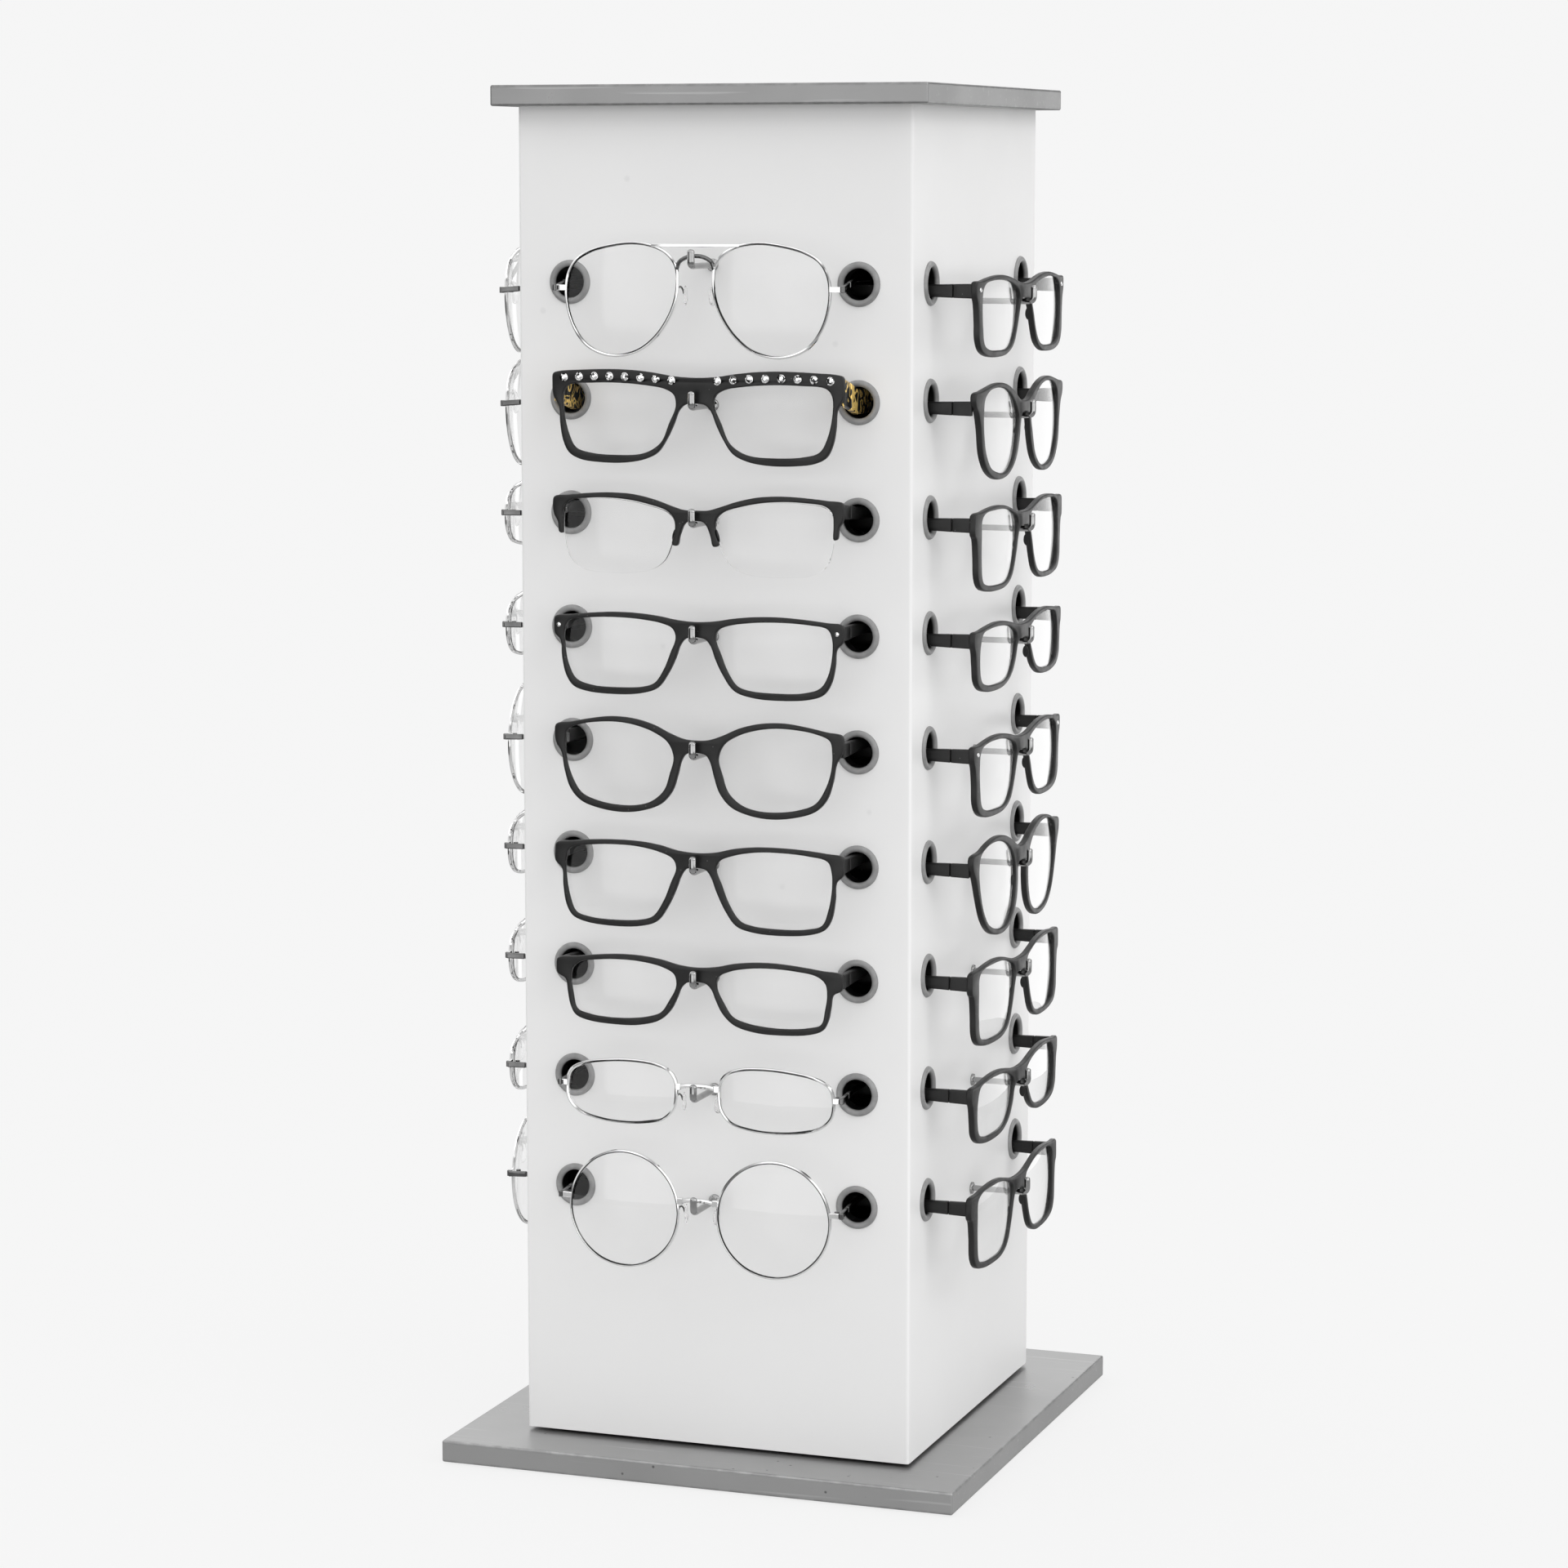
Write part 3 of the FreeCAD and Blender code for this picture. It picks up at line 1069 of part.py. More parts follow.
# ---------------------------------------------------------------- check and write
doc.recompute()
for obj in doc.Objects:
    if "Invalid" in obj.State or "Error" in obj.State:
        raise ValueError("%s failed: %s" % (obj.Label, obj.State))
for obj in nodes:
    if obj.Shape.isNull() or not obj.Shape.isValid() or not obj.Shape.Solids:
        raise ValueError("%s has no valid solid" % obj.Label)
if len(nodes) > 60:
    raise ValueError("%d nodes" % len(nodes))
os.makedirs("parts", exist_ok=True)
for obj in nodes:
    obj.Shape.exportStep("parts/%s.step" % obj.Label)
    box = obj.Shape.BoundBox
    print("%-34s %3d solids  %.0f x %.0f x %.0f mm" % (
        obj.Label, len(obj.Shape.Solids), box.XLength, box.YLength, box.ZLength))
print(len(nodes), "nodes")
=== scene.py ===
# %% [markdown]
# # A turning display for spectacles
# The object is a shop fitting: a square white column with rows of holes and small
# chrome hooks on every side.  A pair of spectacles hangs on each hook with its temples
# pushed through the two holes.  The column turns on a flat metal base.  The engineering
# model is loaded first and stays fixed.  Every visible piece is then given its finish,
# and the pieces that need finer shapes are made again in the same places.

# %% Load the fixed frame
import math
import bmesh
import bpy
from mathutils import Matrix, Vector


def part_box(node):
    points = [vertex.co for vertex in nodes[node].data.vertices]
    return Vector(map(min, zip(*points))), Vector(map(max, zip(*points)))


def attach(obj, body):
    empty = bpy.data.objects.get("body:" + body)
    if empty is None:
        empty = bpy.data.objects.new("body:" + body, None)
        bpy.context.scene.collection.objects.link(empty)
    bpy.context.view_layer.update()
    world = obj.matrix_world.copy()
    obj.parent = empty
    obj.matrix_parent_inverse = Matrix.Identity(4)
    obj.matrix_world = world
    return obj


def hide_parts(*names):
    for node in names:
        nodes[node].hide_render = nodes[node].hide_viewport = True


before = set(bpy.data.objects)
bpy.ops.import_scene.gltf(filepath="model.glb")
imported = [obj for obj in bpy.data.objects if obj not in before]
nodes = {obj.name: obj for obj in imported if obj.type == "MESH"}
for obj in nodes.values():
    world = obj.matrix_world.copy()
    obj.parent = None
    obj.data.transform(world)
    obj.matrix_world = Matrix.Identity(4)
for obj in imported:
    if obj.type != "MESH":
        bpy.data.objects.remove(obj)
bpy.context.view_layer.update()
scene = bpy.context.scene
MM = 0.001

# %% [markdown]
# ## Measures
# The places of the rows and holes are read from the loaded grommets and panels, so the
# new pieces land exactly where the engineering model has them.  Every face is described
# once, as if it were the front, and a turn about the upright axis takes it to its side.
# The numbers could be typed in again, but two copies of one number drift apart.

# %% Read the layout from the frame
FACES = {"front": 0.0, "right": 90.0, "back": 180.0, "left": 270.0}
ROWS = 9
FLANGE = 10.1 * MM
ring_low, ring_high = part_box("front_grommets")
panel_low, panel_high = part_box("front_panel")
FACE_Y = panel_low.y
HALF_SIDE = -panel_low.y
ROW_LOW = ring_low.z + FLANGE
ROW_PITCH = (ring_high.z - ring_low.z - 2 * FLANGE) / (ROWS - 1)
HOLE_PITCH = 2 * (ring_high.x - FLANGE)
print("rows: lowest %.4f, pitch %.5f, holes %.4f apart" % (ROW_LOW, ROW_PITCH, HOLE_PITCH))


def row_height(row):
    """Height of a row's holes; row 1 is the top one."""
    return ROW_LOW + (ROWS - row) * ROW_PITCH


def on_face(face, height=0.0):
    """The step from the front face's axes to a face and a height."""
    turn = Matrix.Rotation(math.radians(FACES[face]), 4, "Z")
    return turn @ Matrix.Translation((0, 0, height))


# %% [markdown]
# ## Camera
# The display is seen from a little above its middle, from the front and right, with a
# long lens, so that its uprights stay almost parallel.  A Track To constraint could aim
# the camera, but a direction turned into a rotation needs no second object.

# %% Place the camera
FOCAL_LENGTH, SENSOR_WIDTH = 101.55, 36.0
EYE_PLACE = (0.7095, -1.9747, 0.6002)
EYE_AIM = Vector((-0.33503, 0.93239, -0.13565))
eye = bpy.data.cameras.new("eye")
eye.lens = FOCAL_LENGTH
eye.sensor_width = SENSOR_WIDTH
camera = bpy.data.objects.new("camera", eye)
camera.location = EYE_PLACE
camera.rotation_euler = EYE_AIM.to_track_quat("-Z", "Y").to_euler()
scene.collection.objects.link(camera)
scene.camera = camera
scene.view_settings.view_transform = "Standard"
print("camera %.2f m from the column" % camera.location.length)

# %% [markdown]
# ## Helpers for node trees
# Finishes and generated pieces are both trees of nodes.  They could be wired in the node
# editor, but a script can be read and run again.  Two helpers keep it short: one starts
# a group with named sockets, the other adds a node together with its settings, its plain
# values and its links.

# %% Node helpers
FLOAT, VECTOR = "NodeSocketFloat", "NodeSocketVector"


def new_group(name, kind, given, made):
    """An empty node group with named inputs and outputs."""
    tree = bpy.data.node_groups.new(name, kind)
    for word, socket_type, value in given:
        socket = tree.interface.new_socket(word, in_out="INPUT", socket_type=socket_type)
        if value is not None:
            socket.default_value = value
    for word, socket_type in made:
        tree.interface.new_socket(word, in_out="OUTPUT", socket_type=socket_type)
    return tree, tree.nodes.new("NodeGroupInput").outputs, tree.nodes.new("NodeGroupOutput")


def add(tree, kind, inputs=None, **settings):
    """A node with its settings, plain values and links, in one call."""
    made = tree.nodes.new(kind)
    for word, value in settings.items():
        setattr(made, word, value)
    for word, value in (inputs or {}).items():
        socket = made.inputs[word]
        if isinstance(value, bpy.types.NodeSocket):
            tree.links.new(value, socket)
        else:
            socket.default_value = value
    return made


def maths(tree, operation, one, two=0.0, clamp=False):
    """The result of one arithmetic node."""
    return add(tree, "ShaderNodeMath", {0: one, 1: two}, operation=operation,
               use_clamp=clamp).outputs[0]


def spread(tree, value, low, high, to_low=0.0, to_high=1.0):
    """A value carried from one range to another and held inside it."""
    return add(tree, "ShaderNodeMapRange",
               {"Value": value, "From Min": low, "From Max": high,
                "To Min": to_low, "To Max": to_high}).outputs["Result"]


# %% [markdown]
# ## Studio light
# The light is a plain white tent with wide, far soft boxes.  Area lamps could do this,
# but they stand near and light the top rows more than the low ones.  Here each box is a
# patch of directions on the sky, so all the lenses see it in the same way, at any height.
# The last one is a black flag: it takes light away, and keeps the left holes dark behind
# their lenses.  The eye sees the tent as one even white, straight or through a lens.

# %% A group for one soft box
box_tree, given, made = new_group("soft_box", "ShaderNodeTree", [
    ("Direction", VECTOR, None), ("Facing", VECTOR, (0, -1, 0)), ("Half width", FLOAT, 0.5),
    ("Low", FLOAT, -0.3), ("High", FLOAT, 0.5), ("Soft edge", FLOAT, 0.07)],
    [("Mask", FLOAT)])
ahead = add(box_tree, "ShaderNodeVectorMath", {0: given["Direction"], 1: given["Facing"]},
            operation="DOT_PRODUCT").outputs["Value"]
side_way = add(box_tree, "ShaderNodeVectorMath", {0: given["Facing"], 1: (0, 0, 1)},
               operation="CROSS_PRODUCT").outputs["Vector"]
aside = add(box_tree, "ShaderNodeVectorMath", {0: given["Direction"], 1: side_way},
            operation="DOT_PRODUCT").outputs["Value"]
rising = add(box_tree, "ShaderNodeSeparateXYZ", {0: given["Direction"]}).outputs["Z"]
near = maths(box_tree, "MAXIMUM", ahead, 0.05)
across = maths(box_tree, "ABSOLUTE", maths(box_tree, "DIVIDE", aside, near))
upward = maths(box_tree, "DIVIDE", rising, near)
mask = maths(box_tree, "DIVIDE", maths(box_tree, "SUBTRACT", given["Half width"], across),
             given["Soft edge"], True)
for one, two in ((upward, given["Low"]), (given["High"], upward)):
    inside = maths(box_tree, "DIVIDE", maths(box_tree, "SUBTRACT", one, two),
                   given["Soft edge"], True)
    mask = maths(box_tree, "MULTIPLY", mask, inside)
in_front = maths(box_tree, "GREATER_THAN", ahead, 0.06)
mask = maths(box_tree, "MULTIPLY", mask, in_front)
box_tree.links.new(mask, made.inputs["Mask"])
print("soft box group:", len(box_tree.nodes), "nodes")

# %% Hang the soft boxes in the tent
TENT_WHITE = 0.92
TENT_LIGHT = 0.36
BOXES = [
    {"Facing": (-0.052, -0.9986, 0.0), "Half width": 0.65, "Low": -0.31, "High": 0.44,
     "glow": 1.22},
    {"Facing": (0.94, -0.34, 0.0), "Half width": 0.78, "Low": -0.22, "High": 1.0,
     "glow": 1.42},
    {"Facing": (0.45, 0.89, 0.0), "Half width": 0.5, "Low": -0.40, "High": 0.10,
     "glow": 0.90},
    {"Facing": (-0.40, 0.92, 0.0), "Half width": 0.5, "Low": -0.05, "High": 0.7,
     "glow": 0.62},
    {"Facing": (-0.996, 0.087, 0.0), "Half width": 0.78, "Low": -0.10, "High": 0.9,
     "glow": 0.80},
    {"Facing": (-0.829, -0.559, 0.0), "Half width": 0.33, "Low": -0.45, "High": 0.35,
     "glow": -0.33},
]
CEILING_FROM, CEILING_FULL, CEILING_GLOW = 0.42, 0.50, 1.05


def seen_by_eye(tree):
    """1 for what the camera sees straight or through a lens, 0 for light and mirrors."""
    path = add(tree, "ShaderNodeLightPath").outputs
    return maths(tree, "MAXIMUM", path["Is Camera Ray"], path["Is Transmission Ray"])


world = bpy.data.worlds.new("light_tent")
scene.world = world
world.use_nodes = True
sky = world.node_tree
direction = add(sky, "ShaderNodeTexCoord").outputs["Generated"]
light = TENT_LIGHT
for box in BOXES:
    patch = add(sky, "ShaderNodeGroup", node_tree=box_tree)
    sky.links.new(direction, patch.inputs["Direction"])
    patch.inputs["Facing"].default_value = Vector(box["Facing"]).normalized()
    for word in ("Half width", "Low", "High"):
        patch.inputs[word].default_value = box[word]
    glow = maths(sky, "MULTIPLY", patch.outputs["Mask"], box["glow"])
    light = maths(sky, "ADD", glow, light)
height = add(sky, "ShaderNodeSeparateXYZ", {0: direction}).outputs["Z"]
ceiling = spread(sky, height, CEILING_FROM, CEILING_FULL, 0.0, CEILING_GLOW)
light = maths(sky, "ADD", ceiling, light)
level = add(sky, "ShaderNodeMix", {"Factor": seen_by_eye(sky), "A": light,
                                   "B": TENT_WHITE}).outputs[0]
sky.links.new(level, sky.nodes["Background"].inputs["Color"])
sky.nodes["Background"].inputs["Strength"].default_value = 1.0
print("tent light %.2f with %d soft boxes" % (TENT_LIGHT, len(BOXES)))

# %% [markdown]
# ## Finish groups
# Real surfaces are never quite even.  Painted images could show that, but they need files
# and leave seams.  Four small groups of noise, worked out from a piece's own coordinates,
# do without: cloudy mottling, fine scratches, specks of dust or pits, and a ragged band
# along the rim of a plate, used for painted edge shade.  Every finish below uses them with
# its own values.

# %% Cloudy mottling
mottle_tree, given, made = new_group("mottling", "ShaderNodeTree", [
    ("Vector", VECTOR, None), ("Scale", FLOAT, 40.0), ("Low", FLOAT, 0.0),
    ("High", FLOAT, 1.0)], [("Value", FLOAT)])
cloud = add(mottle_tree, "ShaderNodeTexNoise", {
    "Vector": given["Vector"], "Scale": given["Scale"], "Detail": 4.0}).outputs["Fac"]
cloud = spread(mottle_tree, cloud, 0.3, 0.7, given["Low"], given["High"])
mottle_tree.links.new(cloud, made.inputs["Value"])
print("mottling:", len(mottle_tree.nodes), "nodes")

# %% Fine scratches
scratch_tree, given, made = new_group("scratches", "ShaderNodeTree", [
    ("Vector", VECTOR, None), ("Scale", FLOAT, 20.0), ("Amount", FLOAT, 1.0)],
    [("Mask", FLOAT)])
lines = None
for angle, stretch in ((0.35, 42.0), (-0.8, 55.0), (1.25, 36.0)):
    laid = add(scratch_tree, "ShaderNodeMapping", {
        "Vector": given["Vector"], "Rotation": (angle, angle * 0.7, angle),
        "Scale": (1.0, stretch, stretch)}).outputs[0]
    grain = add(scratch_tree, "ShaderNodeTexNoise", {
        "Vector": laid, "Scale": given["Scale"], "Detail": 1.0}).outputs["Fac"]
    line = spread(scratch_tree, grain, 0.70, 0.76)
    lines = line if lines is None else maths(scratch_tree, "MAXIMUM", lines, line)
lines = maths(scratch_tree, "MULTIPLY", lines, given["Amount"], True)
scratch_tree.links.new(lines, made.inputs["Mask"])
print("scratches:", len(scratch_tree.nodes), "nodes")

# %% Specks
speck_tree, given, made = new_group("specks", "ShaderNodeTree", [
    ("Vector", VECTOR, None), ("Scale", FLOAT, 300.0), ("Share", FLOAT, 0.1)],
    [("Mask", FLOAT)])
cell = add(speck_tree, "ShaderNodeTexVoronoi", {
    "Vector": given["Vector"], "Scale": given["Scale"]})
dot = spread(speck_tree, cell.outputs["Distance"], 0.22, 0.10)
chosen = add(speck_tree, "ShaderNodeSeparateColor", {0: cell.outputs["Color"]}).outputs[0]
chosen = maths(speck_tree, "LESS_THAN", chosen, given["Share"])
speck_tree.links.new(maths(speck_tree, "MULTIPLY", dot, chosen), made.inputs["Mask"])
print("specks:", len(speck_tree.nodes), "nodes")

# %% Wear and painted edge shade along the rim of a square plate
rim_shade_and_wear_tree, given, made = new_group("rim_wear_and_shade", "ShaderNodeTree", [
    ("Vector", VECTOR, None), ("Half side", FLOAT, 0.1), ("Low", FLOAT, 0.0),
    ("High", FLOAT, 0.01), ("Width", FLOAT, 0.002)], [("Mask", FLOAT)])
spot = add(rim_shade_and_wear_tree, "ShaderNodeSeparateXYZ", {0: given["Vector"]}).outputs
far_out = maths(rim_shade_and_wear_tree, "MAXIMUM", maths(rim_shade_and_wear_tree, "ABSOLUTE", spot["X"]),
                maths(rim_shade_and_wear_tree, "ABSOLUTE", spot["Y"]))
from_side = maths(rim_shade_and_wear_tree, "SUBTRACT", given["Half side"], far_out)
from_skin = maths(rim_shade_and_wear_tree, "MINIMUM", maths(rim_shade_and_wear_tree, "SUBTRACT", given["High"], spot["Z"]),
                  maths(rim_shade_and_wear_tree, "SUBTRACT", spot["Z"], given["Low"]))
from_rim = maths(rim_shade_and_wear_tree, "ADD", from_side, from_skin)
worn_and_shaded = maths(rim_shade_and_wear_tree, "SUBTRACT", 1.0, maths(rim_shade_and_wear_tree, "DIVIDE", from_rim, given["Width"]),
             True)
ragged = add(rim_shade_and_wear_tree, "ShaderNodeTexNoise", {
    "Vector": given["Vector"], "Scale": 180.0, "Detail": 3.0}).outputs["Fac"]
worn_and_shaded = maths(rim_shade_and_wear_tree, "MULTIPLY", worn_and_shaded, spread(rim_shade_and_wear_tree, ragged, 0.35, 0.6))
rim_shade_and_wear_tree.links.new(worn_and_shaded, made.inputs["Mask"])
print("rim wear:", len(rim_shade_and_wear_tree.nodes), "nodes")

# %% [markdown]
# ## Finishes
# Each finish is one material.  The shader stands in the material itself; the groups
# only give the colour, the roughness and the bump that change over the surface.

# %% Helpers for a finish
def new_finish(name, **plain):
    """A material, its tree, its shader and its object coordinates."""
    material = bpy.data.materials.new(name)
    material.use_nodes = True
    tree = material.node_tree
    shader = tree.nodes["Principled BSDF"]
    for word, value in plain.items():
        shader.inputs[word.replace("_", " ")].default_value = value
    place = add(tree, "ShaderNodeTexCoord").outputs["Object"]
    return material, tree, shader.inputs, place


def use(tree, group, place, **values):
    """The only output of a finish group placed in a material."""
    made = add(tree, "ShaderNodeGroup", node_tree=group)
    tree.links.new(place, made.inputs["Vector"])
    for word, value in values.items():
        made.inputs[word.replace("_", " ")].default_value = value
    return made.outputs[0]


def blended(tree, factor, one, two):
    """Colour one, going over to colour two where the factor is 1."""
    mix = add(tree, "ShaderNodeMix", data_type="RGBA")
    for index, value in ((0, factor), (6, one), (7, two)):
        if isinstance(value, bpy.types.NodeSocket):
            tree.links.new(value, mix.inputs[index])
        else:
            mix.inputs[index].default_value = value
    return mix.outputs[2]


def grey(level, warm=0.0):
    """A near neutral colour."""
    return (level * (1 + warm), level, level * (1 - warm), 1.0)


def bumped(tree, sockets, height, strength, depth):
    """A bump from a height that changes over the surface."""
    bump = add(tree, "ShaderNodeBump", {
        "Height": height, "Strength": strength, "Distance": depth})
    tree.links.new(bump.outputs["Normal"], sockets["Normal"])


# %% [markdown]
# ### Satin plate metal
# The base and the top plate are sheet metal, brushed, lacquered and showing a little wear.
# A fully metallic shader would mirror the tent too clearly, so a share of 0.7 and a soft
# roughness tell of the lacquer.  Scratches and dust come from the groups, and so does a
# ragged darker band along the rim, which is painted edge shade.  The top plate is given a
# darker tone than the base: painted shade.

# %% Make the plate metals
def plate_finish(name, node, tone_and_shade):
    """Brushed and lacquered sheet, darker along its rim: painted edge shade, ragged like wear.
    """
    low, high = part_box(node)
    material, tree, sockets, place = new_finish(name, Metallic=0.7)
    cloud = use(tree, mottle_tree, place, Scale=9.0, Low=0.0, High=1.0)
    tone = blended(tree, cloud, grey(0.93 * tone_and_shade), grey(1.08 * tone_and_shade))
    lines = use(tree, scratch_tree, place, Scale=9.0, Amount=0.5)
    tone = blended(tree, lines, tone, grey(1.5 * tone_and_shade))
    dust = use(tree, speck_tree, place, Scale=260.0, Share=0.035)
    tone = blended(tree, dust, tone, grey(0.12))
    # A ragged darker band along the rim: painted edge shade.
    worn_and_shaded = use(tree, rim_shade_and_wear_tree, place, Half_side=high.x, Low=low.z, High=high.z,
               Width=0.0016)
    tone = blended(tree, worn_and_shaded, tone, grey(0.62 * tone_and_shade))
    tree.links.new(tone, sockets["Base Color"])
    rough = use(tree, mottle_tree, place, Scale=26.0, Low=0.27, High=0.37)
    tree.links.new(rough, sockets["Roughness"])
    relief = maths(tree, "ADD", lines, dust)
    bumped(tree, sockets, relief, 0.12, 0.0002)
    return material


# One metal for both plates; the top plate's darker tone is painted shade, and the base's lighter
# tone painted light.
base_metal = plate_finish("base_satin_metal", "base_plate", 0.34)
top_metal_shaded = plate_finish("top_satin_metal_shaded", "top_plate", 0.25)
print("plate metals:", base_metal.name, top_metal_shaded.name)

# %% [markdown]
# ### White panels
# The column is clad in satin white laminate, and its inside is painted near black as
# painted shade, so that the holes look deep.  Skin and painted inside could be two
# materials; one material that tells them apart by their distance from the upright
# axis keeps each panel a single piece.

# %% Make the laminate
SKIN = 0.5 * MM


def panel_finish():
    """Satin white laminate outside, painted shade of near black inside, so the holes look deep.
    """
    material, tree, sockets, place = new_finish("panel_white", IOR=1.45)
    cloud = use(tree, mottle_tree, place, Scale=7.0, Low=0.0, High=1.0)
    white = blended(tree, cloud, grey(0.745, 0.002), grey(0.77, 0.001))
    fluff = use(tree, speck_tree, place, Scale=120.0, Share=0.02)
    white = blended(tree, maths(tree, "MULTIPLY", fluff, 0.35), white, grey(0.6))
    spot = add(tree, "ShaderNodeSeparateXYZ", {0: place}).outputs
    far_out = maths(tree, "MAXIMUM", maths(tree, "ABSOLUTE", spot["X"]),
                    maths(tree, "ABSOLUTE", spot["Y"]))
    # Within the skin the colour is near black: painted shade, standing for the dark column.
    inside = maths(tree, "LESS_THAN", far_out, HALF_SIDE - SKIN)
    tree.links.new(blended(tree, inside, white, grey(0.006)), sockets["Base Color"])
    rough = use(tree, mottle_tree, place, Scale=30.0, Low=0.36, High=0.46)
    tree.links.new(rough, sockets["Roughness"])
    wave = use(tree, mottle_tree, place, Scale=420.0, Low=0.0, High=1.0)
    bumped(tree, sockets, wave, 0.06, 0.0001)
    return material


panel_white = panel_finish()
print("panels:", panel_white.name)

# %% [markdown]
# ### Grommet plastic
# The rings are grey moulded plastic, and their bores are painted near black as painted
# shade.  Such a painted lining could be a ring of its own.  A value stored on the points
# of the mesh does the same, and it stays with the ring when the generator repeats it.

# %% Make the grommet plastic
def grommet_finish():
    """Grey moulded ring; the wall of its hole is painted near black as painted shade, by a value
    stored on the ring's points.
    """
    material, tree, sockets, place = new_finish("grommet_grey")
    cloud = use(tree, mottle_tree, place, Scale=240.0, Low=0.0, High=1.0)
    ring = blended(tree, cloud, grey(0.20), grey(0.27))
    # The marked wall of the hole turns near black: painted shade.
    painted_bore_shade = add(tree, "ShaderNodeAttribute", attribute_name="painted_bore_shade").outputs["Fac"]
    tree.links.new(blended(tree, painted_bore_shade, ring, grey(0.003)), sockets["Base Color"])
    rough = use(tree, mottle_tree, place, Scale=300.0, Low=0.30, High=0.42)
    tree.links.new(rough, sockets["Roughness"])
    bumped(tree, sockets, cloud, 0.05, 0.0001)
    return material


grommet_grey = grommet_finish()
print("grommets:", grommet_grey.name)

# %% [markdown]
# ### Chrome and steel
# Hooks and wire rims are chrome plated; the bearing, its screws and the hinges are plain
# steel.  Chrome takes its look from what it mirrors, so its tone only sets how bright that
# mirror is; the hooks are given a far darker tone than the rims, as painted shade on their
# reflections.  Steel is the same shader, rougher and darker: one function makes all.

# %% Make the metals
def metal_finish(name, dark, light, rough, scale=150.0):
    """A plated or turned metal with cloudy tone, faint scratches and ripples."""
    material, tree, sockets, place = new_finish(name, Metallic=1.0)
    cloud = use(tree, mottle_tree, place, Scale=scale, Low=0.0, High=1.0)
    tone = blended(tree, cloud, dark, light)
    lines = use(tree, scratch_tree, place, Scale=60.0, Amount=0.4)
    tone = blended(tree, lines, tone, tuple(0.8 * c for c in dark[:3]) + (1.0,))
    tree.links.new(tone, sockets["Base Color"])
    uneven = use(tree, mottle_tree, place, Scale=scale * 1.7, Low=rough[0], High=rough[1])
    tree.links.new(uneven, sockets["Roughness"])
    bumped(tree, sockets, cloud, 0.03, 0.0002)
    return material


# The hooks' dark tone is painted shade on their reflections.
chrome = metal_finish("hook_chrome", grey(0.31), grey(0.40), (0.06, 0.12))
frame_chrome = metal_finish("frame_chrome", grey(0.80), grey(0.90), (0.05, 0.10))
dark_chrome = metal_finish("dark_chrome", grey(0.10), grey(0.17), (0.06, 0.12))
bearing_steel = metal_finish("bearing_steel", grey(0.38), grey(0.48), (0.28, 0.42), 90.0)
hinge_steel = metal_finish("hinge_steel", grey(0.10), grey(0.16), (0.25, 0.35))
print("metals:", chrome.name, frame_chrome.name, dark_chrome.name, bearing_steel.name,
      hinge_steel.name)

# %% [markdown]
# ### Cut stones
# The stones are cut glass with a foil behind them.  Glass that bends the light would be
# truer, but on such small stones it gives little more than noise.  Instead the sparkle is
# painted: a mirror whose tone jumps from patch to patch between near black and bright shows
# painted glints and painted shade.

# %% Make the stones' finish
def stone_finish():
    """Cut glass on foil, with painted sparkle: random patches of bright and near-black tone."""
    material, tree, sockets, place = new_finish("stone_clear", Metallic=1.0)
    # Random patches turn bright or near black: painted glints and painted shade.
    sparkle_patches = add(tree, "ShaderNodeTexVoronoi", {"Vector": place, "Scale": 780.0})
    share = add(tree, "ShaderNodeSeparateColor", {0: sparkle_patches.outputs["Color"]}).outputs[0]
    tone = blended(tree, spread(tree, share, 0.16, 0.24), grey(0.05), grey(0.90))
    tree.links.new(tone, sockets["Base Color"])
    uneven = use(tree, mottle_tree, place, Scale=500.0, Low=0.02, High=0.06)
    tree.links.new(uneven, sockets["Roughness"])
    return material


stone_foil = stone_finish()
print("stones:", stone_foil.name)

# %% [markdown]
# ### Black acetate and gold leaf
# The black fronts are tumbled plastic, seen mostly by their sheen, so the roughness
# matters more than the colour.  The gilded temples have raised scrolls.  A drawn mask
# could give them; the thin band where a bent noise is near its middle gives branching
# strokes of even width, wherever the piece turns.

# %% Make the acetates
def acetate_finish(name, rough, tone=(0.006, 0.011)):
    """Tumbled black plastic: satin, with faint clouds and a little dust."""
    material, tree, sockets, place = new_finish(name, IOR=1.49, Specular_IOR_Level=0.36)
    cloud = use(tree, mottle_tree, place, Scale=130.0, Low=0.0, High=1.0)
    black = blended(tree, cloud, grey(tone[0]), grey(tone[1]))
    dust = use(tree, speck_tree, place, Scale=700.0, Share=0.03)
    tree.links.new(blended(tree, dust, black, grey(0.09)), sockets["Base Color"])
    uneven = use(tree, mottle_tree, place, Scale=210.0, Low=rough[0], High=rough[1])
    tree.links.new(uneven, sockets["Roughness"])
    bumped(tree, sockets, cloud, 0.04, 0.0001)
    return material


def gilt_finish():
    """Black acetate with an embossed, gilded scroll pattern."""
    material, tree, sockets, place = new_finish("gilt_temple", IOR=1.49)
    swirl = add(tree, "ShaderNodeTexNoise", {
        "Vector": place, "Scale": 130.0, "Detail": 0.4, "Distortion": 1.6}).outputs["Fac"]
    leaf = maths(tree, "ABSOLUTE", maths(tree, "SUBTRACT", swirl, 0.5))
    leaf = spread(tree, leaf, 0.078, 0.064)
    tone = blended(tree, leaf, grey(0.006), (1.0, 0.70, 0.22, 1.0))
    tree.links.new(tone, sockets["Base Color"])
    tree.links.new(maths(tree, "MULTIPLY", leaf, 0.55), sockets["Metallic"])
    rough = use(tree, mottle_tree, place, Scale=260.0, Low=0.24, High=0.36)
    tree.links.new(rough, sockets["Roughness"])
    bumped(tree, sockets, leaf, 0.25, 0.0003)
    return material


